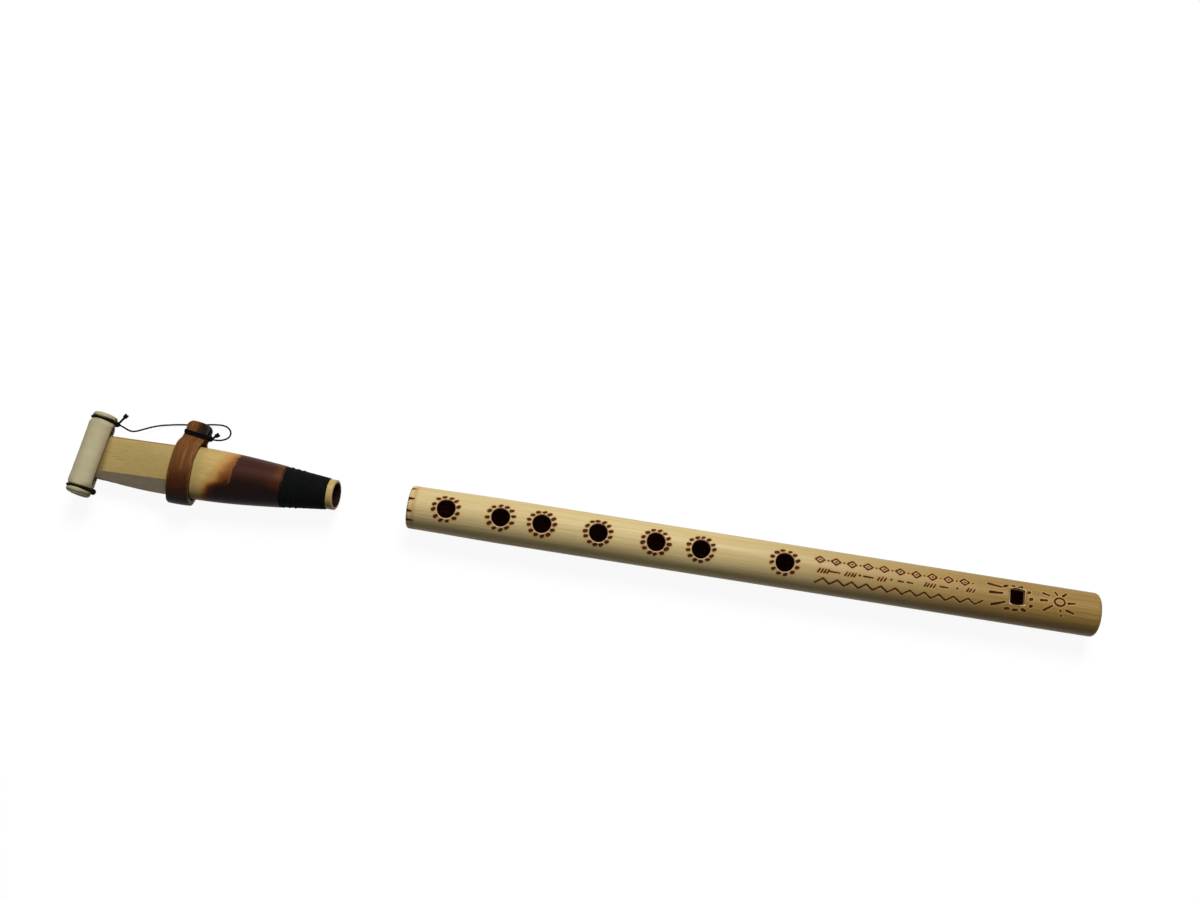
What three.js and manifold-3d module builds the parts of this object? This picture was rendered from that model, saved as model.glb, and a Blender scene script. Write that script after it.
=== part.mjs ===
// A duduk lying in two parts: the cane body tube, and in line with its socket the double reed,
// with the thread on its tenon, its bridle, its cap and the thread that tethers the cap.
// Millimetres. X runs from the reed's mouth to the tube's foot and Z up from the table.
import * as THREE from 'three';
import { mergeVertices } from 'three/addons/utils/BufferGeometryUtils.js';
import Module from 'manifold-3d';

const wasm = await Module();
wasm.setup();

// Clearances
const restGap = 0.3;
const seatGap = 0.3;
const cutOverrun = 2;

// Body tube
const tubeLength = 300.8;
const tubeSocketDiameter = 18.9;
const tubeSwellDiameter = 19.7;
const tubeFootDiameter = 19;
const tubeSwellPlace = 42;
const socketRimRound = 1.3;
const footRimRound = 2.1;
const boreDiameter = 12.4;
const socketMouthDiameter = 15.9;
const socketBottomDiameter = 14.2;
const socketDepth = 14.5;
const fingerHoleDiameter = 8.1;
const thumbHoleDiameter = 7.6;
const windowLength = 6.3;
const windowWidth = 6.6;
const windowOffset = 1.2;
// Places where the swell's curve is drawn, as shares of the way to its widest place
const swellShares = [1 / 3, 1 / 2, 2 / 3, 1];
// Places of the holes along the tube, as shares of its length from the socket end
const fingerHoleShares = [0.057, 0.1365, 0.1965, 0.2785, 0.362, 0.427, 0.5475];
const thumbHoleShare = 0.097;
const windowShare = 0.879;

// Reed, with its places counted from the tenon's end towards the mouth
const reedGap = 32.2;
const reedLength = 113.5;
const tenonTipDiameter = 13.3;
const tenonBoreDiameter = 10.7;
const tenonTipRound = 0.5;
const rimLength = 4;
const threadSeatTipDiameter = 12.1;
const threadSeatRootDiameter = 16.4;
const wrapLength = 20;
const neckDiameter = 18.5;
const neckWall = 2;
const boreTaperEnd = 30;
const pressStart = 45;
const bladeSpreadEnd = 62;
const bladeWidth = 23.4;
const mouthNarrowing = 1.6;
const mouthThickness = 4.8;
const bladeWall = 1.7;
// Exponent of the reed's section: 2 is round, and the blade is fuller once it is half pressed
const roundFullness = 2;
const bladeFullness = 2.5;
const fullPressShare = 0.5;
// Places where the reed is drawn: outside from the wrap to the mouth, and inside all along it
const bladeShares = [0.03, 0.08, 0.15, 0.24, 0.33, 0.42, 0.48, 0.54, 0.6, 0.67, 0.75, 0.83, 0.91, 1];
const boreShares = [0.05, 0.12, 0.2, 0.3, 0.4, 0.5, 0.6, 0.7, 0.8, 0.9, 1];
// The sides of the blade are sanded flat: how far in from its edge each flat starts, and its turn
const nearFlatInset = 5.7;
const nearFlatTurn = THREE.MathUtils.degToRad(50);
const farFlatInset = 1.5;
const farFlatTurn = THREE.MathUtils.degToRad(80);
const flatRunOut = 8;
const flatRunOutDepth = 5;

// Threads
const wrapThreadDiameter = 0.62;
const wrapTurns = 18;
const tieThreadDiameter = 0.9;
const tetherDiameter = 0.8;
const neckTieTurns = 2;
const neckTiePitch = 1.35;
const knotDiameter = 2.5;
const endKnotDiameter = 1.7;
const capTailReach = 5.4;
const bridleTailReach = 4.6;
// Widths of the knots along X, Y and Z, as shares of their diameters
const knotShares = [0.8, 1, 1];
const lowerKnotShares = [0.8, 1, 1.15];
const endKnotShares = [1, 0.85, 0.9];
// Points of the cut tails, as shares of their reach
const capTailShares = [[0, 0, 0], [0.22, 0.32, 0.1], [0.5, 0.84, 0.18]];
const bridleTailShares = [[0, 0, 0], [0.3, 0.22, 0.14], [0.7, 0.66, 0.24]];

// Bridle, a strip bent round the reed with its ends laid together
const bridlePlace = 68.3;
const bridleWidth = 10;
const bridleStripThickness = 1.9;
const bridleSideRoom = 1.4;
const bridleNeckRun = 0.6;
const bridleTieRun = 1.6;
const bridleEndRun = 5.6;
const bridleEndsGap = 0.5;
const bridleLeaveAngle = THREE.MathUtils.degToRad(48);
const bridleBendReach = 4.2;
// The tied ends lean towards the tenon: how far from the blade the lean starts, how far it takes
// to build up, and its angle
const bridleLeanRoom = 0.3;
const bridleLeanRamp = 5;
const bridleLean = THREE.MathUtils.degToRad(8);

// Cap, two half-round strips tied over the mouth at a slant. The back one is narrower, and both
// line up on the mouth's side
const capLength = 37;
const capStripWidth = 11;
const capBackWidth = 9.4;
const capSlant = THREE.MathUtils.degToRad(6);
const capStripHeight = 5;
const capOverMouth = 2.7;
const capShift = 0.8;
const capEndRound = 1.4;
const capTieInset = 2.6;
const capGrooveWidth = 1.5;
const capGrooveDepth = 0.6;

// Finishes
const tubeCane = new THREE.MeshStandardMaterial({ color: 0xcfb983, roughness: 0.38, metalness: 0 });
const reedCane = new THREE.MeshStandardMaterial({ color: 0xb99a5c, roughness: 0.5, metalness: 0 });
const bridleCane = new THREE.MeshStandardMaterial({ color: 0x6e3f22, roughness: 0.5, metalness: 0 });
const capCane = new THREE.MeshStandardMaterial({ color: 0xc3b794, roughness: 0.6, metalness: 0 });
const blackThread = new THREE.MeshStandardMaterial({ color: 0x0d0d10, roughness: 0.85, metalness: 0 });

// Counts of sides and steps
const tubeSides = 48;
const holeSides = 28;
const reedSides = 44;
const arcSteps = 3;
const loopSteps = 24;
const loopSides = 6;
const tetherSides = 8;
const bridleArcSteps = 40;
const bridleBendSteps = 5;
const capArcSteps = 14;
const knotSides = 10;
const knotBands = 7;
const tailSteps = 5;
const tetherStepDiameters = 2.5;
// Exponent of the neck tie's path, which is nearly square
const tieFullness = 8;

// Worked-out places, in the instrument's own frame: x is zero at the tube's socket face
const mouthPlace = -reedGap - reedLength;
const capCentre = mouthPlace - capOverMouth + capStripWidth / 2;
const capTieReach = capLength / 2 - capTieInset;
const bridleCentre = -reedGap - bridlePlace;
const bridleLeanStart = bladeWidth / 2 + bridleLeanRoom;
const bridleNearReach = bladeWidth / 2 + bridleSideRoom + bridleStripThickness;
const bridleNeckReach = bridleNearReach + bridleNeckRun;
const bridleTieReach = bridleNeckReach + bridleTieRun;
const bridleEndReach = bridleTieReach + bridleEndRun;
const wrapStart = rimLength;
const wrapEnd = rimLength + wrapLength;

const mix = (from, to, share) => from + (to - from) * share;
const ease = (share) => share * share * (3 - 2 * share);
const clampShare = (value) => Math.min(Math.max(value, 0), 1);

// A profile of [place, radius] points, closed on itself and turned round the X axis
function turned(profile, sides) {
  const points = profile.map(([place, radius]) => new THREE.Vector2(radius, place));
  points.push(points[0].clone());
  return new THREE.LatheGeometry(points, sides).rotateZ(-Math.PI / 2);
}

// A quarter arc of a rounded rim, from angle to angle round a centre
function arc(centrePlace, centreRadius, round, fromAngle, toAngle) {
  const points = [];
  for (let step = 0; step <= arcSteps; step += 1) {
    const angle = mix(fromAngle, toAngle, step / arcSteps);
    points.push([centrePlace + round * Math.cos(angle), centreRadius + round * Math.sin(angle)]);
  }
  return points;
}

function toSolid(geometry) {
  const bare = geometry.clone();
  bare.deleteAttribute('normal');
  bare.deleteAttribute('uv');
  const merged = mergeVertices(bare);
  const vertProperties = new Float32Array(merged.attributes.position.array);
  const triVerts = new Uint32Array(merged.index.array);
  return new wasm.Manifold(new wasm.Mesh({ numProp: 3, vertProperties, triVerts }));
}

function toGeometry(solid) {
  const mesh = solid.getMesh();
  const geometry = new THREE.BufferGeometry();
  geometry.setAttribute('position', new THREE.BufferAttribute(new Float32Array(mesh.vertProperties), 3));
  geometry.setIndex(new THREE.BufferAttribute(new Uint32Array(mesh.triVerts), 1));
  return geometry;
}

function cut(geometry, tools) {
  const left = tools.reduce((solid, tool) => solid.subtract(toSolid(tool)), toSolid(geometry));
  return toGeometry(left);
}

function joined(geometries) {
  const [first, ...rest] = geometries.map(toSolid);
  return toGeometry(rest.reduce((solid, piece) => solid.add(piece), first));
}

function piece(name, geometry, material) {
  geometry.computeVertexNormals();
  const mesh = new THREE.Mesh(geometry, material);
  mesh.name = name;
  return mesh;
}

// Body tube
function tubeRadius(place) {
  const swell = tubeSwellDiameter / 2;
  if (place < tubeSwellPlace) {
    return mix(tubeSocketDiameter / 2, swell, ease(place / tubeSwellPlace));
  }
  return mix(swell, tubeFootDiameter / 2, (place - tubeSwellPlace) / (tubeLength - tubeSwellPlace));
}

function bodyTube() {
  const socketRadius = tubeRadius(socketRimRound);
  const footRadius = tubeRadius(tubeLength - footRimRound);
  const swellPlaces = swellShares.map((share) => share * tubeSwellPlace);
  const profile = [
    ...arc(socketRimRound, socketRadius - socketRimRound, socketRimRound, Math.PI, Math.PI / 2),
    ...swellPlaces.map((place) => [place, tubeRadius(place)]),
    ...arc(tubeLength - footRimRound, footRadius - footRimRound, footRimRound, Math.PI / 2, 0),
    [tubeLength, boreDiameter / 2],
    [socketDepth, boreDiameter / 2],
    [socketDepth, socketBottomDiameter / 2],
    [0, socketMouthDiameter / 2],
  ];
  const toolHeight = tubeSwellDiameter / 2 + cutOverrun;
  const roundHole = (share, diameter, side) => new THREE.CylinderGeometry(
    diameter / 2, diameter / 2, toolHeight, holeSides,
  ).rotateX(Math.PI / 2).translate(share * tubeLength, 0, side * toolHeight / 2);
  const holes = fingerHoleShares.map((share) => roundHole(share, fingerHoleDiameter, 1));
  const thumbHole = roundHole(thumbHoleShare, thumbHoleDiameter, -1);
  const squareWindow = new THREE.BoxGeometry(windowLength, windowWidth, toolHeight)
    .translate(windowShare * tubeLength, windowOffset, toolHeight / 2);
  // Half a side's turn lays a flat side on the table
  const barrel = turned(profile, tubeSides).rotateX(Math.PI / tubeSides);
  return cut(barrel, [...holes, thumbHole, squareWindow]);
}

// Reed: half width and half thickness of its section, at a place counted from the tenon's end
function caneRadius(place) {
  if (place < rimLength) {
    return tenonTipDiameter / 2;
  }
  return mix(tenonTipDiameter, neckDiameter, clampShare((place - wrapStart) / wrapLength)) / 2;
}

function reedHalfWidth(place) {
  const spread = clampShare((place - wrapEnd) / (bladeSpreadEnd - wrapEnd));
  const narrowing = clampShare((place - bladeSpreadEnd) / (reedLength - bladeSpreadEnd));
  const spreadWidth = mix(neckDiameter, bladeWidth, Math.sin(spread * Math.PI / 2));
  const width = spreadWidth - narrowing * mouthNarrowing;
  return place < wrapEnd ? caneRadius(place) : width / 2;
}

function pressShare(place) {
  return ease(clampShare((place - pressStart) / (reedLength - pressStart)));
}

function reedHalfThickness(place) {
  return mix(caneRadius(place), mouthThickness / 2, pressShare(place));
}

function sectionPoint(halfWidth, halfThickness, fullness, angle) {
  const bend = 2 / fullness;
  const across = Math.cos(angle);
  const up = Math.sin(angle);
  return [
    halfWidth * Math.sign(across) * Math.abs(across) ** bend,
    halfThickness * Math.sign(up) * Math.abs(up) ** bend,
  ];
}

function reedFullness(place) {
  return mix(roundFullness, bladeFullness, Math.min(1, pressShare(place) / fullPressShare));
}

// Height of the reed's upper face at a distance across from its middle line
function faceHeight(place, across) {
  const fullness = reedFullness(place);
  const share = Math.abs(across) / reedHalfWidth(place);
  return reedHalfThickness(place) * (1 - share ** fullness) ** (1 / fullness);
}

// The sanded flats: each is a plane that leaves the face at its place and leans outward
function flatLimits(place) {
  const runOut = ease(clampShare((bridlePlace - place) / flatRunOut)) * flatRunOutDepth;
  const flats = [[-1, nearFlatInset, nearFlatTurn], [1, farFlatInset, farFlatTurn]];
  return flats.map(([side, inset, turn]) => {
    const edge = bladeWidth / 2 - inset;
    const normal = [side * Math.sin(turn), Math.cos(turn)];
    const limit = edge * Math.sin(turn) + faceHeight(place, edge) * Math.cos(turn) + runOut;
    return { normal, limit };
  });
}

// Takes a point of the round cane to where it lies after pressing and sanding
function pressPoint(place, roundY, roundZ) {
  const depth = caneRadius(place) - Math.hypot(roundY, roundZ);
  const angle = Math.atan2(roundZ, roundY);
  let [y, z] = sectionPoint(
    reedHalfWidth(place) - depth, reedHalfThickness(place) - depth, reedFullness(place), angle,
  );
  if (place > bladeSpreadEnd - flatRunOut) {
    for (const { normal, limit } of flatLimits(place)) {
      const reach = y * normal[0] + z * normal[1];
      const shrink = Math.min(1, (limit - depth) / Math.max(reach, limit - depth));
      y *= shrink;
      z *= shrink;
    }
  }
  return [y, z];
}

function reedWall(place) {
  const borePart = clampShare(place / boreTaperEnd);
  const tenonWall = caneRadius(place) - tenonBoreDiameter / 2;
  if (place < boreTaperEnd) {
    return mix(tenonWall, neckWall, ease(borePart));
  }
  return mix(neckWall, bladeWall, clampShare((place - boreTaperEnd) / (bladeSpreadEnd - boreTaperEnd)));
}

function reed() {
  const bladePlaces = bladeShares.map((share) => mix(wrapEnd, reedLength, share));
  const borePlaces = boreShares.map((share) => share * reedLength);
  const outer = [
    ...arc(tenonTipRound, caneRadius(0) - tenonTipRound, tenonTipRound, Math.PI, Math.PI / 2),
    [rimLength, caneRadius(rimLength)],
    [wrapStart, threadSeatTipDiameter / 2],
    [wrapEnd, threadSeatRootDiameter / 2],
    [wrapEnd, caneRadius(wrapEnd)],
    ...bladePlaces.map((place) => [place, caneRadius(place)]),
  ];
  const inner = borePlaces.reverse().map((place) => [place, caneRadius(place) - reedWall(place)]);
  const geometry = turned([...outer, ...inner, [0, tenonBoreDiameter / 2]], reedSides);
  const position = geometry.attributes.position;
  for (let index = 0; index < position.count; index += 1) {
    const place = position.getX(index);
    const [y, z] = pressPoint(place, position.getY(index), position.getZ(index));
    position.setXYZ(index, place, y, z);
  }
  // Counted from the tenon's end, the reed runs against X
  return geometry.rotateZ(Math.PI).translate(-reedGap, 0, 0);
}

// A solid skinned over rings of points, closed at both ends. All rings turn the same way round
// the direction in which they follow each other, and are convex.
function ringSolid(rings) {
  const sides = rings[0].length;
  const faces = [];
  for (let ring = 0; ring < rings.length - 1; ring += 1) {
    for (let side = 0; side < sides; side += 1) {
      const here = ring * sides + side;
      const next = ring * sides + (side + 1) % sides;
      faces.push(here, next, here + sides, next, next + sides, here + sides);
    }
  }
  const last = (rings.length - 1) * sides;
  for (let side = 1; side < sides - 1; side += 1) {
    faces.push(0, side + 1, side, last, last + side, last + side + 1);
  }
  const geometry = new THREE.BufferGeometry().setFromPoints(rings.flat());
  geometry.setIndex(faces);
  return geometry;
}

// A round tube along hand-made points
function tubeAlong(points, radius, sides) {
  let normal = null;
  const rings = points.map((point, index) => {
    const before = points[Math.max(index - 1, 0)];
    const after = points[Math.min(index + 1, points.length - 1)];
    const tangent = after.clone().sub(before).normalize();
    if (normal === null) {
      normal = Math.abs(tangent.z) < Math.SQRT1_2 ? new THREE.Vector3(0, 0, 1) : new THREE.Vector3(1, 0, 0);
    }
    normal = normal.clone().addScaledVector(tangent, -normal.dot(tangent)).normalize();
    const binormal = tangent.clone().cross(normal);
    const ring = [];
    for (let side = 0; side < sides; side += 1) {
      const angle = 2 * Math.PI * side / sides;
      ring.push(point.clone()
        .addScaledVector(normal, radius * Math.cos(angle))
        .addScaledVector(binormal, radius * Math.sin(angle)));
    }
    return ring;
  });
  return ringSolid(rings);
}

// Runs both ends of a wound path straight on for one diameter
function withStraightEnds(points, diameter) {
  const first = points[0];
  const last = points[points.length - 1];
  const back = first.clone().sub(points[1]).setLength(diameter).add(first);
  const onward = last.clone().sub(points[points.length - 2]).setLength(diameter).add(last);
  return [back, ...points, onward];
}

// The least clear distance between turns of one wound path, measured on its points
function printLeastGap(name, points, diameter) {
  const apart = Math.round(loopSteps / 2);
  let least = Infinity;
  for (let first = 0; first < points.length; first += 1) {
    for (let second = first + apart; second < points.length; second += 1) {
      least = Math.min(least, points[first].distanceTo(points[second]) - diameter);
    }
  }
  console.log(`${name}: least gap between turns ${least.toFixed(2)} mm`);
}

// Thread wound round the tenon, one unbroken length
function tenonThread() {
  const radius = wrapThreadDiameter / 2;
  const pitch = (wrapLength - wrapThreadDiameter - 2 * restGap) / wrapTurns;
  const points = [];
  for (let step = 0; step <= wrapTurns * loopSteps; step += 1) {
    const turns = step / loopSteps;
    const place = wrapStart + restGap + radius + pitch * turns;
    const share = (place - wrapStart) / wrapLength;
    const seat = mix(threadSeatTipDiameter, threadSeatRootDiameter, share) / 2;
    const reach = seat + restGap + radius;
    const angle = 2 * Math.PI * turns;
    points.push(new THREE.Vector3(-reedGap - place, reach * Math.cos(angle), reach * Math.sin(angle)));
  }
  printLeastGap('tenon_thread', points, wrapThreadDiameter);
  return tubeAlong(withStraightEnds(points, wrapThreadDiameter), radius, loopSides);
}

// Bridle: the strip's middle line in the plane across the reed, from one end round to the other
function bridleLine() {
  const half = bridleStripThickness / 2;
  const fattestPlace = bridlePlace - bridleWidth / 2;
  const halfHeight = reedHalfThickness(fattestPlace) + restGap + half;
  const halfWidth = bridleNearReach - half;
  const endHeight = bridleEndsGap / 2 + half;
  const leave = new THREE.Vector2(
    halfWidth * Math.cos(bridleLeaveAngle), halfHeight * Math.sin(bridleLeaveAngle),
  );
  const along = new THREE.Vector2(
    halfWidth * Math.sin(bridleLeaveAngle), -halfHeight * Math.cos(bridleLeaveAngle),
  ).normalize();
  const bend = new THREE.CubicBezierCurve(
    new THREE.Vector2(bridleNeckReach, endHeight),
    new THREE.Vector2(bridleNeckReach - bridleBendReach / 2, endHeight),
    leave.clone().addScaledVector(along, bridleBendReach),
    leave,
  );
  const upper = [new THREE.Vector2(bridleEndReach, endHeight), ...bend.getPoints(bridleBendSteps)];
  const round = [];
  for (let step = 1; step < bridleArcSteps; step += 1) {
    const angle = mix(bridleLeaveAngle, 2 * Math.PI - bridleLeaveAngle, step / bridleArcSteps);
    round.push(new THREE.Vector2(halfWidth * Math.cos(angle), halfHeight * Math.sin(angle)));
  }
  const lower = upper.map((point) => new THREE.Vector2(point.x, -point.y)).reverse();
  return [...upper, ...round, ...lower];
}

function bridleStrip() {
  const line = bridleLine();
  const half = bridleStripThickness / 2;
  const outside = [];
  const inside = [];
  line.forEach((point, index) => {
    const before = line[Math.max(index - 1, 0)];
    const after = line[Math.min(index + 1, line.length - 1)];
    const along = after.clone().sub(before).normalize();
    const outward = new THREE.Vector2(along.y, -along.x);
    outside.push(point.clone().addScaledVector(outward, half));
    inside.push(point.clone().addScaledVector(outward, -half));
  });
  const shape = new THREE.Shape([...outside, ...inside.reverse()]);
  const geometry = new THREE.ExtrudeGeometry(shape, { depth: bridleWidth, bevelEnabled: false });
  // The outline lies in the plane across the reed: its x is Y, its y is Z and its depth is X
  const turn = new THREE.Matrix4().makeBasis(
    new THREE.Vector3(0, 1, 0), new THREE.Vector3(0, 0, 1), new THREE.Vector3(1, 0, 0),
  );
  return leaned(geometry.applyMatrix4(turn).translate(bridleCentre - bridleWidth / 2, 0, 0));
}

// Turns what lies past the start of the lean towards the tenon
function leaned(geometry) {
  const position = geometry.attributes.position;
  for (let index = 0; index < position.count; index += 1) {
    const along = position.getX(index) - bridleCentre;
    const reach = position.getY(index) - bridleLeanStart;
    const lean = bridleLean * ease(clampShare(reach / bridleLeanRamp));
    position.setX(index, bridleCentre + along * Math.cos(lean) + reach * Math.sin(lean));
    position.setY(index, bridleLeanStart - along * Math.sin(lean) + reach * Math.cos(lean));
  }
  return geometry;
}

// Thread round the bridle's two ends, turn beside turn towards the strip's ends
function bridleNeckTie() {
  const radius = tieThreadDiameter / 2;
  const halfAlong = bridleWidth / 2 + restGap + radius;
  const halfUp = bridleEndsGap / 2 + bridleStripThickness + restGap + radius;
  const points = [];
  for (let step = 1; step <= neckTieTurns * loopSteps - 1; step += 1) {
    const turns = step / loopSteps;
    const [along, up] = sectionPoint(halfAlong, halfUp, tieFullness, 2 * Math.PI * turns);
    const across = bridleTieReach + neckTiePitch * (turns - neckTieTurns / 2);
    points.push(new THREE.Vector3(bridleCentre + along, across, up));
  }
  printLeastGap('bridle_neck_tie', points, tieThreadDiameter);
  return leaned(tubeAlong(withStraightEnds(points, tieThreadDiameter), radius, loopSides));
}

function ball(diameter, shares, centre) {
  return new THREE.SphereGeometry(diameter / 2, knotSides, knotBands)
    .scale(...shares)
    .translate(centre.x, centre.y, centre.z);
}

// A knot with a cut tail that ends in a small knot of its own
function knotWithTail(centre, tailReach, tailShares) {
  const tailPoints = tailShares.map((share) => (
    new THREE.Vector3(...share).multiplyScalar(tailReach).add(centre)
  ));
  const tail = new THREE.CatmullRomCurve3(tailPoints).getPoints(tailSteps);
  return joined([
    ball(knotDiameter, knotShares, centre),
    tubeAlong(tail, tetherDiameter / 2, loopSides),
    ball(endKnotDiameter, endKnotShares, tailPoints[tailPoints.length - 1]),
  ]);
}

function bridleKnot() {
  const besideTie = bridleWidth / 2 + restGap + tieThreadDiameter + restGap;
  const halfKnot = knotDiameter / 2 * knotShares[0];
  const centre = new THREE.Vector3(bridleCentre + besideTie + halfKnot, bridleTieReach, 0);
  return leaned(knotWithTail(centre, bridleTailReach, bridleTailShares));
}

// Points of an ellipse from its right end round to an angle, without the last one
function ellipsePoints(halfWidth, halfHeight, toAngle, steps) {
  const points = [];
  for (let step = 0; step < steps; step += 1) {
    const angle = toAngle * step / steps;
    points.push(new THREE.Vector2(halfWidth * Math.cos(angle), halfHeight * Math.sin(angle)));
  }
  return points;
}

// Cap, made square in its own frame, with its middle at zero, and then laid at its slant
function placedCap(geometry) {
  return geometry.rotateZ(-capSlant).translate(capCentre, capShift, 0);
}

function capFaceHeight() {
  const inboardPlace = -reedGap - (capCentre + capStripWidth / 2);
  return reedHalfThickness(inboardPlace) + restGap;
}

// Width of the front strip for side 1 or the back strip for side -1, and its middle's place
function capStripPlace(side) {
  const width = side > 0 ? capStripWidth : capBackWidth;
  return { width, middle: (width - capStripWidth) / 2 };
}

function capStrip(side) {
  const { width, middle } = capStripPlace(side);
  const halfLength = capLength / 2;
  const startEnd = arc(capEndRound - halfLength, 0, capEndRound, Math.PI, Math.PI / 2);
  const farEnd = startEnd.map(([place, inset]) => [-place, inset]).reverse();
  const rings = [...startEnd, ...farEnd].map(([place, round]) => {
    const inset = capEndRound - round;
    const outline = ellipsePoints(width / 2 - inset, capStripHeight - inset, Math.PI, capArcSteps);
    outline.push(new THREE.Vector2(inset - width / 2, 0));
    return outline.map((point) => new THREE.Vector3(point.x, point.y, place));
  });
  const grooved = cut(ringSolid(rings), [-1, 1].map((end) => capGroove(width, end)));
  // The strip's length lies across the reed, and its round side faces away from the blade
  return placedCap(grooved.rotateX(side * Math.PI / 2).translate(middle, 0, side * capFaceHeight()));
}

// The ring that is cut away for a tie, at one end of an upright strip
function capGroove(width, end) {
  const turn = 2 * Math.PI;
  const steps = 2 * capArcSteps;
  const ring = new THREE.Shape(
    ellipsePoints(width / 2 + cutOverrun, capStripHeight + cutOverrun, turn, steps),
  );
  ring.holes.push(new THREE.Path(
    ellipsePoints(width / 2 - capGrooveDepth, capStripHeight - capGrooveDepth, turn, steps),
  ));
  const groove = new THREE.ExtrudeGeometry(ring, { depth: capGrooveWidth, bevelEnabled: false });
  return groove.translate(0, 0, end * capTieReach - capGrooveWidth / 2);
}

// How far a tie lies from the middle of a strip that is this wide, on the strip's edge
function capTieAlong(width) {
  return width / 2 - capGrooveDepth + restGap + tieThreadDiameter / 2;
}

// One turn of thread round both strips, from the knot on the tenon's side round to it again
function capTie(end) {
  const radius = tieThreadDiameter / 2;
  const roundUp = capStripHeight - capGrooveDepth + restGap + radius;
  const halfSteps = loopSteps / 2 - 1;
  const at = (along, up) => new THREE.Vector3(along, end * capTieReach, up);
  const roundStrip = (side) => {
    const { width, middle } = capStripPlace(side);
    const points = [];
    for (let step = 0; step <= halfSteps; step += 1) {
      const angle = Math.PI * step / halfSteps;
      const up = capFaceHeight() + roundUp * Math.sin(angle);
      points.push(at(middle + capTieAlong(width) * Math.cos(angle), side * up));
    }
    return points;
  };
  const knotAlong = capTieAlong(capStripWidth);
  const knotUp = knotDiameter / 2 * lowerKnotShares[2] + restGap;
  const backAlong = mix(roundStrip(-1)[0].x, knotAlong, 1 / 2);
  const points = [
    at(knotAlong, knotUp), ...roundStrip(1), ...roundStrip(-1).reverse(), at(backAlong, -knotUp),
  ];
  return placedCap(tubeAlong(points, radius, loopSides));
}

function capKnotCentre(end) {
  return new THREE.Vector3(capTieAlong(capStripWidth), end * capTieReach, 0);
}

function capUpperKnot() {
  return placedCap(knotWithTail(capKnotCentre(1), capTailReach, capTailShares));
}

function capLowerKnot() {
  return placedCap(ball(knotDiameter, lowerKnotShares, capKnotCentre(-1)));
}

// Tether: a slack thread from the cap's upper knot down to the table, along it under the bridle's
// ends, and up to the bridle's knot. It is made in two lengths that meet on the table. Points run
// in the instrument's frame, with z from the table.
const capSideRoute = [
  [-134.3, 15.8, 10.1], [-133.4, 15.5, 9.7], [-132.5, 15.2, 9], [-131.6, 14.9, 8], [-130.8, 14.8, 6.8],
  [-129.8, 15, 5.6], [-128.7, 15.6, 4.5], [-127.3, 16.6, 3.5], [-125.6, 17.7, 2.7], [-123.7, 18.8, 2.1],
  [-121.6, 19.8, 1.6], [-119.2, 20.7, 1.15], [-116.5, 21.4, 0.85], [-113.7, 22, 0.75], [-110.9, 22.5, 0.7],
  [-108, 22.9, 0.7],
];
const bridleSideRoute = [
  [-107.7, 22.94, 0.7], [-106, 23.2, 0.7], [-103.8, 23.5, 0.7], [-101.5, 23.9, 0.75], [-99.1, 24.3, 0.85],
  [-96.6, 24.7, 1.05], [-94.1, 24.9, 1.4], [-91.8, 24.8, 2.1], [-89.6, 24.2, 3.1], [-87.9, 23.1, 4.3],
  [-86.6, 21.6, 5.6], [-86, 20, 6.9], [-86.2, 18.4, 8.1], [-87.1, 17.2, 9.1], [-88.7, 16.3, 9.8],
  [-90.55, 15.9, 10.2],
];

function tether(name, route) {
  const path = new THREE.CatmullRomCurve3(route.map((point) => new THREE.Vector3(...point)));
  const corners = [];
  for (let side = 0; side < tetherSides; side += 1) {
    const angle = 2 * Math.PI * side / tetherSides;
    corners.push(new THREE.Vector2(Math.cos(angle), Math.sin(angle)).multiplyScalar(tetherDiameter / 2));
  }
  const steps = Math.round(path.getLength() / (tetherDiameter * tetherStepDiameters));
  console.log(`${name}: length ${path.getLength().toFixed(1)} mm`);
  return new THREE.ExtrudeGeometry(new THREE.Shape(corners), {
    steps, extrudePath: path, bevelEnabled: false,
  });
}

const instrument = new THREE.Group();
instrument.add(
  piece('body_tube', bodyTube(), tubeCane),
  piece('reed_cane', reed(), reedCane),
  piece('tenon_thread', tenonThread(), blackThread),
  piece('bridle_strip', bridleStrip(), bridleCane),
  piece('bridle_neck_tie', bridleNeckTie(), blackThread),
  piece('bridle_knot', bridleKnot(), blackThread),
  piece('cap_front_strip', capStrip(1), capCane),
  piece('cap_back_strip', capStrip(-1), capCane),
  piece('cap_upper_tie', capTie(1), blackThread),
  piece('cap_lower_tie', capTie(-1), blackThread),
  piece('cap_upper_knot', capUpperKnot(), blackThread),
  piece('cap_lower_knot', capLowerKnot(), blackThread),
);

// The box of the rigid pieces is centred over the origin and stands on the table
const box = new THREE.Box3().setFromObject(instrument, true);
const centre = box.getCenter(new THREE.Vector3());
instrument.position.set(-centre.x, -centre.y, -box.min.z);

const tethers = new THREE.Group();
tethers.add(
  piece('tether_cap_side', tether('tether_cap_side', capSideRoute), blackThread),
  piece('tether_bridle_side', tether('tether_bridle_side', bridleSideRoute), blackThread),
);
tethers.position.set(-centre.x, -centre.y, 0);

// How far the reed slides until its thread meets the socket's mouth
const wrapTipRadius = threadSeatTipDiameter / 2 + restGap + wrapThreadDiameter;
const wrapSlope = (threadSeatRootDiameter - threadSeatTipDiameter) / 2 / wrapLength;
const seatDepth = rimLength + (socketMouthDiameter / 2 - seatGap - wrapTipRadius) / wrapSlope;
console.log(`the tube's axis is at ${instrument.position.toArray().map((value) => value.toFixed(2)).join(', ')}`);
console.log(`reed travel to its seat ${(reedGap + seatDepth).toFixed(2)} mm`);

const duduk = new THREE.Group();
duduk.add(instrument, tethers);
export default duduk;
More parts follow.
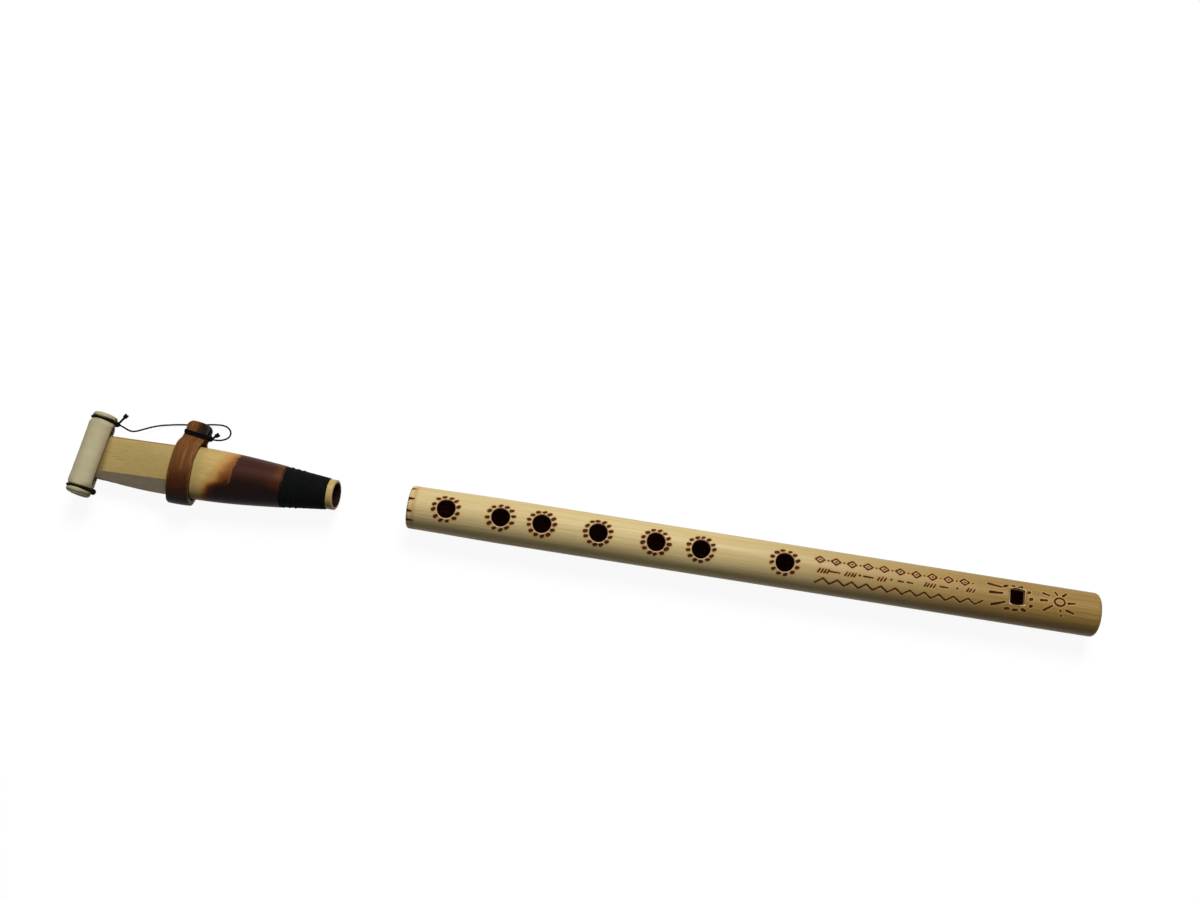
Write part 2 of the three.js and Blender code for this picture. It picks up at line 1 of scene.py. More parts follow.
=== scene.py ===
# %% [markdown]
# A duduk laid apart on a table.
# A duduk is a cane tube with finger holes, played through a wide double reed. Here it lies as a
# player unpacks it: the tube, and in front of its socket the reed with a thread wrap on its
# tenon, a bridle of bent cane, and a cap that keeps the mouth pressed flat. A thread tethers
# the cap to the bridle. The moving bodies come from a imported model, and this script dresses them
# with fine meshes and finishes.

# %% Load the frame
import math
import random

import bpy
import numpy as np
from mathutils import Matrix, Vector


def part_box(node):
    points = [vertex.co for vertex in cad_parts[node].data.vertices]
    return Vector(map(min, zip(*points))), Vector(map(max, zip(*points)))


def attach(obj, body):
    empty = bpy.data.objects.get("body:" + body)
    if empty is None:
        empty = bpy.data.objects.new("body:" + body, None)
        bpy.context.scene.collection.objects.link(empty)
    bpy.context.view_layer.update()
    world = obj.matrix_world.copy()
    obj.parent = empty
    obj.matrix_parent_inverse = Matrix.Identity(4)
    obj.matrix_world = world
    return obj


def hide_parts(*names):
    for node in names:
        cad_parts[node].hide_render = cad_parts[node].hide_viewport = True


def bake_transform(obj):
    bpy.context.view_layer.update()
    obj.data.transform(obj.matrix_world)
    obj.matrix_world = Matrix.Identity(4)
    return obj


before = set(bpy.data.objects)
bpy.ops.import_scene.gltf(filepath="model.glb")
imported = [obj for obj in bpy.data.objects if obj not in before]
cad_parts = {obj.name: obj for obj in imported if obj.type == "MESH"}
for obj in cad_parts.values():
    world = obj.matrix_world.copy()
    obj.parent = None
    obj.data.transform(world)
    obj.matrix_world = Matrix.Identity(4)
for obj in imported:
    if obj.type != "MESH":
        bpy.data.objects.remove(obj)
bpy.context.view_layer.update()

# %% [markdown]
# All shapes are drawn in millimetres in the instrument's own frame: s runs from the face of the
# tube's socket towards the foot, and y and z are counted from the axis of the tube. The reed
# lies at negative s. One function takes such points into the row frame, in metres.

# %% The instrument's own frame
MM = 0.001
tube_low, tube_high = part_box("body_tube")
SOCKET_FACE = Vector((tube_low.x, (tube_low.y + tube_high.y) / 2, (tube_low.z + tube_high.z) / 2))
TUBE_LENGTH = (tube_high.x - tube_low.x) / MM
AXIS_HEIGHT = SOCKET_FACE.z / MM


def to_row(points):
    return np.array(SOCKET_FACE) + np.asarray(points, float) * MM


def mix(start, end, share):
    return start + (end - start) * share


def ease(share):
    share = np.clip(share, 0, 1)
    return share * share * (3 - 2 * share)


print(f"tube {TUBE_LENGTH:.1f} mm long, its axis {AXIS_HEIGHT:.2f} mm over the table")

# %% [markdown]
# The camera comes first, because the free thread is checked against its view. It looks steeply
# down on the table, a little from the right. The focal length is that of a small zoom lens.

# %% Camera
CAMERA_AIM = (77.9, 41.1, -AXIS_HEIGHT)
CAMERA_DISTANCE = 631.2 * MM
CAMERA_ELEVATION = math.radians(76)
CAMERA_AZIMUTH = math.radians(9.13)
CAMERA_LENS = 42
SENSOR_WIDTH = 36

camera_data = bpy.data.cameras.new("camera")
camera_data.lens = CAMERA_LENS
camera_data.sensor_width = SENSOR_WIDTH
camera = bpy.data.objects.new("camera", camera_data)
bpy.context.scene.collection.objects.link(camera)
camera_back = Vector((
    math.cos(CAMERA_ELEVATION) * math.sin(CAMERA_AZIMUTH),
    -math.cos(CAMERA_ELEVATION) * math.cos(CAMERA_AZIMUTH),
    math.sin(CAMERA_ELEVATION),
))
camera.location = Vector(to_row([CAMERA_AIM])[0]) + camera_back * CAMERA_DISTANCE
camera.rotation_euler = (-camera_back).to_track_quat("-Z", "Y").to_euler()
bpy.context.scene.camera = camera
print("camera at", [round(value, 3) for value in camera.location])

# %% [markdown]
# Most pieces here are skins over rings of points: the tube, the reed, the strips and every
# thread. One builder makes them all. A ring list can be closed along its run, as the profile of
# a bored tube is, or have a flat cap at each end.

# %% Mesh builder
def make_piece(name, points, faces, body, materials=()):
    mesh = bpy.data.meshes.new(name)
    mesh.from_pydata([tuple(point) for point in to_row(points)], [], [tuple(face) for face in faces])
    mesh.validate()
    mesh.polygons.foreach_set("use_smooth", [True] * len(mesh.polygons))
    piece = bpy.data.objects.new(name, mesh)
    bpy.context.scene.collection.objects.link(piece)
    for material in materials:
        mesh.materials.append(material)
    if body is not None:
        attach(piece, body)
    return piece


def skin_faces(rings, columns, closed=False):
    """Faces between rings of points, with a cap at each end unless the rings close on themselves."""
    faces = []
    for ring in range(rings if closed else rings - 1):
        here, onward = ring * columns, (ring + 1) % rings * columns
        for column in range(columns):
            beside = (column + 1) % columns
            faces.append((here + column, here + beside, onward + beside, onward + column))
    if not closed:
        faces.append(tuple(reversed(range(columns))))
        faces.append(tuple(range((rings - 1) * columns, rings * columns)))
    return faces


def keep_values(piece, name, values, kind="FLOAT"):
    attribute = piece.data.attributes.new(name, kind, "POINT")
    field = "value" if kind == "FLOAT" else "vector"
    attribute.data.foreach_set(field, np.asarray(values, np.float32).ravel())


def points_of(piece):
    """A piece's points in the instrument's own frame, in millimetres."""
    flat = np.zeros(len(piece.data.vertices) * 3, np.float32)
    piece.data.vertices.foreach_get("co", flat)
    return (flat.reshape(-1, 3) - np.array(SOCKET_FACE)) / MM


print("mesh builder ready")

# %% [markdown]
# Thread is two plies twisted together. It could be a plain tube with a bump pattern, but its
# outline would stay smooth. Here the section itself has two lobes that turn along the length,
# so that the twist shows in the silhouette as well.

# %% Twisted thread
THREAD_SIDES = 12
TWIST_PITCH_DIAMETERS = 2.6
PLY_DEPTH_SHARE = 0.16


def even_path(route, spacing):
    """Points at an even spacing on a smooth curve through the route."""
    route = np.asarray(route, float)
    padded = np.vstack([2 * route[0] - route[1], route, 2 * route[-1] - route[-2]])
    steps = np.linspace(0, 1, 24, endpoint=False)[:, None]
    spans = []
    for start in range(1, len(padded) - 2):
        a, b, c, d = padded[start - 1:start + 3]
        spans.append(0.5 * (
            2 * b + (c - a) * steps + (2 * a - 5 * b + 4 * c - d) * steps ** 2
            + (3 * b - a - 3 * c + d) * steps ** 3
        ))
    fine = np.vstack(spans + [route[-1:]])
    walked = np.concatenate([[0], np.cumsum(np.linalg.norm(np.diff(fine, axis=0), axis=1))])
    count = max(2, int(round(walked[-1] / spacing)) + 1)
    places = np.linspace(0, walked[-1], count)
    return np.stack([np.interp(places, walked, fine[:, axis]) for axis in range(3)], axis=1)


def path_length(path):
    return float(np.linalg.norm(np.diff(path, axis=0), axis=1).sum())


def thread_rings(path, diameter, sides=THREAD_SIDES):
    """The points of a twisted thread along a path, ring by ring."""
    path = np.asarray(path, float)
    tangents = np.gradient(path, axis=0)
    tangents /= np.linalg.norm(tangents, axis=1)[:, None]
    walked = np.concatenate([[0], np.cumsum(np.linalg.norm(np.diff(path, axis=0), axis=1))])
    normal = np.array([0, 0, 1.0]) if abs(tangents[0][2]) < 0.7 else np.array([1.0, 0, 0])
    around = np.linspace(0, 2 * math.pi, sides, endpoint=False)
    points = []
    for point, tangent, place in zip(path, tangents, walked):
        normal = normal - tangent * normal.dot(tangent)
        normal /= np.linalg.norm(normal)
        side = np.cross(tangent, normal)
        turned = around - 2 * math.pi * place / (diameter * TWIST_PITCH_DIAMETERS)
        reach = diameter / 2 * (1 - PLY_DEPTH_SHARE * (1 - np.abs(np.cos(turned))))
        ring = np.outer(reach * np.cos(around), normal) + np.outer(reach * np.sin(around), side)
        points.append(point + ring)
    return np.vstack(points)


def thread_mesh(lengths, sides=THREAD_SIDES):
    """Points and faces of one or more lengths of thread, each given as (path, diameter)."""
    points, faces, start = [], [], 0
    for path, diameter in lengths:
        rings = thread_rings(path, diameter, sides)
        faces += [tuple(start + corner for corner in face) for face in skin_faces(len(path), sides)]
        points.append(rings)
        start += len(rings)
    return np.vstack(points), faces


print("thread builder ready")

# %% [markdown]
# The tether is a slack thread: it leaves the knot on the cap, drops to the table, runs under the
# bridle's tied ends and climbs to the bridle's knot. It is made of two lengths, which meet on the
# table. The points are places on the table, z counted from its surface.

# %% Tether
TETHER_DIAMETER = 0.8
TETHER_STEP = 0.25
CAP_SIDE_ROUTE = [
    (-134.3, 15.8, 10.1), (-133.4, 15.5, 9.7), (-132.5, 15.2, 9), (-131.6, 14.9, 8),
    (-130.8, 14.8, 6.8), (-129.8, 15, 5.6), (-128.7, 15.6, 4.5), (-127.3, 16.6, 3.5),
    (-125.6, 17.7, 2.7), (-123.7, 18.8, 2.1), (-121.6, 19.8, 1.6), (-119.2, 20.7, 1.15),
    (-116.5, 21.4, 0.85), (-113.7, 22, 0.75), (-110.9, 22.5, 0.7), (-107.9, 22.91, 0.7),
]
BRIDLE_SIDE_ROUTE = [
    (-107.8, 22.93, 0.7), (-106, 23.2, 0.7), (-103.8, 23.5, 0.7), (-101.5, 23.9, 0.75),
    (-99.1, 24.3, 0.85), (-96.6, 24.7, 1.05), (-94.1, 24.9, 1.4), (-91.8, 24.8, 2.1), (-89.6, 24.2, 3.1),
    (-87.9, 23.1, 4.3), (-86.6, 21.6, 5.6), (-86, 20, 6.9), (-86.2, 18.4, 8.1), (-87.1, 17.2, 9.1),
    (-88.7, 16.3, 9.8), (-90.55, 15.9, 10.2),
]


def tether(name, route, node):
    on_axis = [(s, y, z - AXIS_HEIGHT) for s, y, z in route]
    path = even_path(on_axis, TETHER_STEP)
    points, faces = thread_mesh([(path, TETHER_DIAMETER)])
    piece = make_piece(name, points, faces, None)
    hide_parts(node)
    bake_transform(piece)
    print(f"{name}: {path_length(path):.1f} mm")
    return piece


tethers = [
    tether("tether_to_cap", CAP_SIDE_ROUTE, "tether_cap_side"),
    tether("tether_to_bridle", BRIDLE_SIDE_ROUTE, "tether_bridle_side"),
]

# %% [markdown]
# Materials are networks of small nodes. A few short helpers keep them readable: one adds a node
# and fills its inputs, four do arithmetic, two blend colours, and one turns a range of values
# into a mask from 0 to 1. A glaze is a thin coat of one tone over another, where a mask allows.

# %% Node helpers
# The mix node keeps its sockets for numbers, vectors and colours in one list.
MIX_SHARE, MIX_BELOW, MIX_ABOVE, MIX_RESULT = 0, 6, 7, 2


def fill(tree, socket, value):
    """Gives a socket a link when the value is another node's output, and a steady value otherwise."""
    if isinstance(value, bpy.types.NodeSocket):
        tree.links.new(value, socket)
    else:
        socket.default_value = value


def add(tree, kind, settings=None, **inputs):
    node = tree.nodes.new(kind)
    for setting, value in (settings or {}).items():
        setattr(node, setting, value)
    for name, value in inputs.items():
        fill(tree, node.inputs[name.replace("_", " ")], value)
    return node


def maths(tree, operation, *values, clamp=False):
    node = add(tree, "ShaderNodeMath", {"operation": operation, "use_clamp": clamp})
    for socket, value in zip(node.inputs, values):
        fill(tree, socket, value)
    return node.outputs[0]


def product(tree, first, *others):
    for other in others:
        first = maths(tree, "MULTIPLY", first, other)
    return first


def summed(tree, first, *others):
    for other in others:
        first = maths(tree, "ADD", first, other)
    return first


def swing(tree, value, reach):
    """A value from 0 to 1 as a swing to both sides of nothing."""
    return product(tree, maths(tree, "SUBTRACT", value, 0.5), reach)


def blended(tree, share, below, above):
    node = add(tree, "ShaderNodeMix", {"data_type": "RGBA"})
    for index, value in ((MIX_SHARE, share), (MIX_BELOW, below), (MIX_ABOVE, above)):
        fill(tree, node.inputs[index], value)
    return node.outputs[MIX_RESULT]


def glazed(tree, base, tone, mask, strength):
    """A thin coat of one tone over the base, of a given strength where the mask is 1."""
    return blended(tree, product(tree, mask, strength), base, tone)


def ranged(tree, value, low, high, to_low=0.0, to_high=1.0):
    """A smooth step from to_low at low to to_high at high."""
    node = add(tree, "ShaderNodeMapRange", {"interpolation_type": "SMOOTHSTEP"})
    for name, entry in (
        ("Value", value), ("From Min", low), ("From Max", high), ("To Min", to_low), ("To Max", to_high),
    ):
        fill(tree, node.inputs[name], entry)
    return node.outputs["Result"]


print("node helpers ready")

# %% [markdown]
# A few more helpers give what the nodes work on: noise, values that a mesh carries, colours as
# they look on a screen, and node groups. A group is one effect with named inputs and outputs, so
# that several finishes can use it and only its varying values are given.

# %% Helpers for noise, colours and groups
def noise(tree, coordinates, scale, detail=2.0, roughness=0.5):
    node = add(
        tree, "ShaderNodeTexNoise", Vector=coordinates, Scale=scale, Detail=detail, Roughness=roughness,
    )
    return node.outputs["Fac"]


def stored(tree, name, output="Fac"):
    """A value that a piece's points carry."""
    return add(tree, "ShaderNodeAttribute", {"attribute_name": name}).outputs[output]


def colour(red, green, blue):
    """A colour as seen on a screen, from 0 to 255, as the light values a shader takes."""
    shares = [value / 255 for value in (red, green, blue)]
    linear = [s / 12.92 if s <= 0.04045 else ((s + 0.055) / 1.055) ** 2.4 for s in shares]
    return (*linear, 1.0)


def effect_group(name, inputs, outputs):
    """An empty node group with named sockets: {name: (kind, default)} in and {name: kind} out."""
    group = bpy.data.node_groups.new(name, "ShaderNodeTree")
    for socket_name, (kind, default) in inputs.items():
        socket = group.interface.new_socket(name=socket_name, in_out="INPUT", socket_type=kind)
        if default is not None:
            socket.default_value = default
    for socket_name, kind in outputs.items():
        group.interface.new_socket(name=socket_name, in_out="OUTPUT", socket_type=kind)
    return group, group.nodes.new("NodeGroupInput").outputs, group.nodes.new("NodeGroupOutput").inputs


def use_group(tree, group, **inputs):
    node = add(tree, "ShaderNodeGroup", {"node_tree": group}, **inputs)
    return node.outputs


print("a mid grey on the screen, as light:", round(colour(128, 128, 128)[0], 3))

# %% [markdown]
# Cane is a grass. Its wood is a bundle of straight fibres, so every face of it shows fine
# streaks along its length, and here and there a short brown fleck where a vessel is cut. All
# are noise that is stretched many times along the grain. The group takes coordinates whose
# first axis runs along the grain, so one group serves the tube, the reed, the cap and the bridle.

# %% Group: cane grain
FLOAT, VECTOR, COLOUR = "NodeSocketFloat", "NodeSocketVector", "NodeSocketColor"
METRE_IN_MM = 1000.0
BAND_SCALE, FLECK_SCALE, FLECK_SHORTENING = 0.16, 0.85, 7.0


def in_millimetres(group, along, first, second):
    """Coordinates for noise, from three values in metres."""
    place = add(group, "ShaderNodeCombineXYZ", X=along, Y=first, Z=second).outputs[0]
    stretched = add(
        group, "ShaderNodeVectorMath", {"operation": "SCALE"}, Vector=place, Scale=METRE_IN_MM,
    )
    return stretched.outputs[0]


def cane_grain_group():
    group, given, made = effect_group(
        "cane_grain",
        {"Coordinates": (VECTOR, None), "Streak Width": (FLOAT, 0.5), "Streak Length": (FLOAT, 30.0)},
        {"Streaks": FLOAT, "Bands": FLOAT, "Flecks": FLOAT},
    )
    apart = add(group, "ShaderNodeSeparateXYZ", Vector=given["Coordinates"])
    along = maths(group, "DIVIDE", apart.outputs[0], given["Streak Length"])
    first = maths(group, "DIVIDE", apart.outputs[1], given["Streak Width"])
    second = maths(group, "DIVIDE", apart.outputs[2], given["Streak Width"])
    fibres = in_millimetres(group, along, first, second)
    streaks = ranged(group, noise(group, fibres, 1.0, roughness=0.6), 0.32, 0.68)
    bands = ranged(group, noise(group, fibres, BAND_SCALE), 0.3, 0.7)
    spots = in_millimetres(group, product(group, along, FLECK_SHORTENING), first, second)
    flecks = ranged(group, noise(group, spots, FLECK_SCALE, detail=0.0), 0.73, 0.79)
    group.links.new(streaks, made["Streaks"])
    group.links.new(bands, made["Bands"])
    group.links.new(flecks, made["Flecks"])
    return group


cane_grain = cane_grain_group()
print("group:", cane_grain.name)

# %% [markdown]
# The maker colours the cane with heat: a hot iron burns the dots round the holes, and a flame
# browns the reed's neck. Heated cane goes from its own tan through gold, orange-brown and dark
# red-brown to black. One group paints that row of colours over any cane, from a heat of 0 to 1.

# %% Group: scorched colour
GOLDEN = colour(190, 142, 76)
ORANGE_BROWN = colour(124, 72, 27)
RED_BROWN = colour(60, 27, 12)
CHARRED = colour(24, 10, 6)


def scorched_colour_group():
    group, given, made = effect_group(
        "scorched_colour",
        {"Cane Colour": (COLOUR, (0.6, 0.45, 0.2, 1.0)), "Heat": (FLOAT, 0.0)},
        {"Colour": COLOUR},
    )
    painted = given["Cane Colour"]
    for low, high, tone in (
        (0.05, 0.3, GOLDEN), (0.25, 0.5, ORANGE_BROWN), (0.45, 0.7, RED_BROWN), (0.72, 1.0, CHARRED),
    ):
        painted = blended(group, ranged(group, given["Heat"], low, high), painted, tone)
    group.links.new(painted, made["Colour"])
    return group


scorched_colour = scorched_colour_group()
print("group:", scorched_colour.name)

# %% [markdown]
# Every finish starts the same way: a material with a Principled shader whose steady values, such
# as the coat's roughness, are set on its own sockets, and whose varying ones come in by links.

# %% Finish starter
def start_finish(name, **settings):
    material = bpy.data.materials.new(name)
    material.use_nodes = True
    tree = material.node_tree
    shader = tree.nodes["Principled BSDF"]
    for setting, value in settings.items():
        shader.inputs[setting.replace("_", " ")].default_value = value
    coordinates = add(tree, "ShaderNodeTexCoord").outputs["Object"]
    return material, tree, shader, coordinates


def bumped(tree, shader, height, strength, distance):
    bump = add(tree, "ShaderNodeBump", Strength=strength, Distance=distance, Height=height)
    tree.links.new(bump.outputs["Normal"], shader.inputs["Normal"])


def paint(tree, shader, **sockets):
    for name, value in sockets.items():
        tree.links.new(value, shader.inputs[name.replace("_", " ")])


print("finish starter ready")

# %% [markdown]
# The tube's finish is varnished pale cane. It is creamier near the socket and darker and more
# golden towards the foot, partly from the cane's own tone and partly as a painted fall-off of
# light. The burned marks are drawn from a stored distance: each point of the mesh knows how far it
# is from the nearest mark, and the shader turns that into a crisp black-brown mark with a softer
# brown halo. A little noise on the distance makes the edges look hand-made.
# A faint scorched band circles the tube just behind the socket's rim.

# %% Finish: varnished tube cane
TUBE_CREAM = colour(220, 199, 144)
TUBE_GOLD = colour(198, 165, 98)
TUBE_FOOT_GOLD_AND_SHADE = colour(132, 102, 44)
TUBE_STREAK = colour(178, 148, 92)
TUBE_FLECK = colour(140, 100, 52)
SOCKET_X = SOCKET_FACE.x
FOOT_X = SOCKET_FACE.x + TUBE_LENGTH * MM
MARK_EDGE, MARK_HEAT = 0.12, 0.86
MARK_MIDDLE, MIDDLE_LOSS = (-0.3, -0.7), 0.2
HALO_REACH, HALO_HEAT = 1.0, 0.24
SCORCH_RISE = (SOCKET_X + 1.2 * MM, SOCKET_X + 2.4 * MM)
SCORCH_FALL = (SOCKET_X + 5.0 * MM, SOCKET_X + 3.0 * MM)
SCORCH_DRIFT, SCORCH_HEAT = 2.4 * MM, 0.18


def tube_finish():
    material, tree, shader, coordinates = start_finish(
        "varnished_tube_cane", Coat_Weight=0.04, Coat_Roughness=0.3, IOR=1.45, Specular_IOR_Level=0.14,
    )
    grain = use_group(tree, cane_grain, Coordinates=coordinates, Streak_Width=0.55, Streak_Length=42.0)
    along = add(tree, "ShaderNodeSeparateXYZ", Vector=coordinates).outputs[0]
    # Darker and more golden towards the foot: partly the cane's own tone, partly a painted fall-off of light.
    foot_gold_and_shade = ranged(tree, along, SOCKET_X + 0.11, FOOT_X - 0.02)
    base = blended(tree, foot_gold_and_shade, TUBE_CREAM, TUBE_FOOT_GOLD_AND_SHADE)
    base = glazed(tree, base, TUBE_STREAK, grain["Streaks"], 0.42)
    base = glazed(tree, base, TUBE_GOLD, grain["Bands"], 0.15)
    base = glazed(tree, base, TUBE_FLECK, grain["Flecks"], 0.16)
    wobble = swing(tree, noise(tree, coordinates, 1500.0, detail=3.0), 0.5)
    distance = summed(tree, stored(tree, "mark_distance"), wobble)
    mark = ranged(tree, distance, MARK_EDGE, -MARK_EDGE)
    halo = product(tree, ranged(tree, distance, HALO_REACH, 0.0), HALO_HEAT)
    middle = product(tree, ranged(tree, distance, *MARK_MIDDLE), MIDDLE_LOSS)
    burn = maths(tree, "SUBTRACT", product(tree, mark, MARK_HEAT), middle)
    place = summed(tree, along, swing(tree, noise(tree, coordinates, 260.0), SCORCH_DRIFT))
    band = product(tree, ranged(tree, place, *SCORCH_RISE), ranged(tree, place, *SCORCH_FALL), SCORCH_HEAT)
    heat = maths(tree, "MAXIMUM", maths(tree, "MAXIMUM", burn, halo), band)
    painted = use_group(tree, scorched_colour, Cane_Colour=base, Heat=heat)["Colour"]
    roughness = ranged(tree, grain["Streaks"], 0.0, 1.0, 0.4, 0.5)
    roughness = summed(tree, roughness, product(tree, mark, 0.3))
    paint(tree, shader, Base_Color=painted, Roughness=roughness)
    relief = maths(tree, "SUBTRACT", product(tree, grain["Streaks"], -1.0), grain["Flecks"])
    bumped(tree, shader, relief, 0.25, 0.03 * MM)
    return material


print("the foot lies at", round(FOOT_X, 4), "m along the row")

# %% [markdown]
# Where the cane is cut or burned through, other faces show: pale porous wood on the rims and
# chamfers, a brown crust on the walls that the hot iron left, darkened further with painted shade,
# and a bore darkened by breath.

# %% Finish: cut faces and burned walls
CUT_PALE, CUT_BROWN, CUT_ROSY = colour(214, 190, 150), colour(172, 138, 92), colour(200, 160, 120)
CRUST_SHADED_DARK, CRUST_SHADED_BROWN = colour(34, 13, 8), colour(78, 34, 18)
BORE_BROWN, BORE_STREAK = colour(142, 92, 56), colour(98, 58, 34)


def cut_cane_finish():
    """Freshly cut cane: the rims, the window's walls and the chamfers of the holes."""
    material, tree, shader, coordinates = start_finish("cut_cane", IOR=1.4, Specular_IOR_Level=0.2)
    pores = noise(tree, coordinates, 2600.0, roughness=0.7)
    base = blended(tree, ranged(tree, pores, 0.4, 0.65), CUT_PALE, CUT_BROWN)
    base = glazed(tree, base, CUT_ROSY, noise(tree, coordinates, 700.0), 0.4)
    paint(tree, shader, Base_Color=base, Roughness=ranged(tree, pores, 0.3, 0.7, 0.55, 0.8))
    bumped(tree, shader, pores, 0.4, 0.06 * MM)
    return material


def burned_wall_finish():
    """The inside of a hole that was opened with a hot iron, darkened further with painted shade."""
    material, tree, shader, coordinates = start_finish("burned_hole_wall", IOR=1.4, Specular_IOR_Level=0.1)
    crust = noise(tree, coordinates, 1800.0, detail=4.0, roughness=0.7)
    # The wall's colours are burned crust and painted shade inside the hole.
    base = blended(tree, ranged(tree, crust, 0.35, 0.7), CRUST_SHADED_DARK, CRUST_SHADED_BROWN)
    paint(tree, shader, Base_Color=base, Roughness=ranged(tree, crust, 0.3, 0.7, 0.5, 0.9))
    bumped(tree, shader, crust, 0.6, 0.12 * MM)
    return material


def bore_finish():
    """The drilled bore: brown with age and breath, with fine lengthwise drill streaks."""
    material, tree, shader, coordinates = start_finish("bore_cane", IOR=1.4, Specular_IOR_Level=0.1)
    grain = use_group(tree, cane_grain, Coordinates=coordinates, Streak_Width=0.5, Streak_Length=18.0)
    base = blended(tree, grain["Streaks"], BORE_BROWN, BORE_STREAK)
    paint(tree, shader, Base_Color=base, Roughness=ranged(tree, grain["Streaks"], 0.0, 1.0, 0.6, 0.8))
    bumped(tree, shader, grain["Streaks"], 0.4, 0.06 * MM)
    return material


tube_materials = [tube_finish(), cut_cane_finish(), burned_wall_finish(), bore_finish()]
print("tube finishes:", [material.name for material in tube_materials])

# %% [markdown]
# The body tube is a turned and bored cane. Its outside is a fine skin over rings, closer
# together on top, where the marks are. The ends are rounded over, and the socket is a taper
# inside the near end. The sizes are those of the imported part, so the skin lies where it lay.

# %% Body tube: sizes
TUBE_SOCKET_RADIUS, TUBE_SWELL_RADIUS, TUBE_FOOT_RADIUS = 9.45, 9.85, 9.5
TUBE_SWELL_PLACE = 42
SOCKET_RIM_ROUND, FOOT_RIM_ROUND = 1.3, 2.1
BORE_RADIUS, SOCKET_MOUTH_RADIUS, SOCKET_BOTTOM_RADIUS, SOCKET_DEPTH = 6.2, 7.95, 7.1, 14.5
HOLE_RADIUS, THUMB_HOLE_RADIUS = 4.05, 3.8
HOLE_PLACES = [TUBE_LENGTH * share for share in (0.057, 0.1365, 0.1965, 0.2785, 0.362, 0.427, 0.5475)]
THUMB_HOLE_PLACE = TUBE_LENGTH * 0.097
WINDOW_PLACE, WINDOW_ACROSS, WINDOW_SIZE = TUBE_LENGTH * 0.879, 1.2, (6.3, 6.6)
RING_SPACING, BORE_RING_SPACING = 0.45, 6.0
BORE_EDGE, SOCKET_EDGE, SOCKET_STEP = 0.25, 0.35, 0.1
TUBE_TOP_COLUMNS, TUBE_UNDER_COLUMNS, TUBE_TOP_REACH = 132, 52, math.radians(80)
RIM_STEPS = 8


def tube_radius(place):
    place = np.asarray(place, float)
    swell = mix(TUBE_SOCKET_RADIUS, TUBE_SWELL_RADIUS, ease(place / TUBE_SWELL_PLACE))
    past = (place - TUBE_SWELL_PLACE) / (TUBE_LENGTH - TUBE_SWELL_PLACE)
    return np.where(place < TUBE_SWELL_PLACE, swell, mix(TUBE_SWELL_RADIUS, TUBE_FOOT_RADIUS, past))


def rim_arc(centre_place, centre_radius, size, start, end):
    angles = np.linspace(math.radians(start), math.radians(end), RIM_STEPS)
    return [(centre_place + size * math.cos(a), centre_radius + size * math.sin(a)) for a in angles]


def turned_skin(profile, angles):
    """A closed profile of (place, radius) turned round the axis, at the given angles from the top."""
    profile, angles = np.asarray(profile, float), np.asarray(angles, float)
    places = np.repeat(profile[:, 0], len(angles))
    across = np.outer(profile[:, 1], np.sin(angles)).ravel()
    up = np.outer(profile[:, 1], np.cos(angles)).ravel()
    return np.stack([places, across, up], axis=1), skin_faces(len(profile), len(angles), closed=True)


def tube_blank():
    near, far = SOCKET_RIM_ROUND, TUBE_LENGTH - FOOT_RIM_ROUND
    straight = np.arange(near + RING_SPACING, far - RING_SPACING / 2, RING_SPACING)
    inside = np.arange(TUBE_LENGTH - 3, SOCKET_DEPTH + 1, -BORE_RING_SPACING)
    profile = [
        *rim_arc(near, float(tube_radius(near)) - near, near, 180, 90),
        *[(place, float(tube_radius(place))) for place in straight],
        *rim_arc(far, float(tube_radius(far)) - FOOT_RIM_ROUND, FOOT_RIM_ROUND, 90, 0),
        (TUBE_LENGTH, BORE_RADIUS + BORE_EDGE),
        (TUBE_LENGTH - BORE_EDGE, BORE_RADIUS),
        *[(place, BORE_RADIUS) for place in inside],
        (SOCKET_DEPTH + SOCKET_STEP, BORE_RADIUS),
        (SOCKET_DEPTH, BORE_RADIUS + SOCKET_STEP),
        (SOCKET_DEPTH, SOCKET_BOTTOM_RADIUS),
        (SOCKET_EDGE, SOCKET_MOUTH_RADIUS),
        (0, SOCKET_MOUTH_RADIUS + SOCKET_EDGE),
    ]
    top = np.linspace(-TUBE_TOP_REACH, TUBE_TOP_REACH, TUBE_TOP_COLUMNS)
    under = np.linspace(TUBE_TOP_REACH, 2 * math.pi - TUBE_TOP_REACH, TUBE_UNDER_COLUMNS + 2)[1:-1]
    points, faces = turned_skin(profile, np.concatenate([top, under]))
    return make_piece("body_tube_dressed", points, faces, None)


tube = tube_blank()
print("tube blank:", len(tube.data.vertices), "points")

# %% [markdown]
# The holes are cut with a boolean modifier. Each cutter is a shaft with a flare that follows the
# round of the tube, so that every hole gets an even chamfer, as a knife leaves it. The hand that
# burned them wasn't exact, so each hole is a little out of round.

# %% Body tube: holes
CHAMFER_DEPTH, CHAMFER_REACH, WINDOW_CHAMFER = 0.38, 0.34, 0.6
CUTTER_SIDES, HOLE_WOBBLE, THUMB_HOLE_SEED = 72, 0.018, 11
CUTTER_INSIDE, CUTTER_OUTSIDE = 1.5, 12.5
SKIN_CLEARANCE, CUTTER_OVERSHOOT = 0.02, 0.6
WINDOW_CORNER, WINDOW_CORNER_STEPS = 0.5, 5


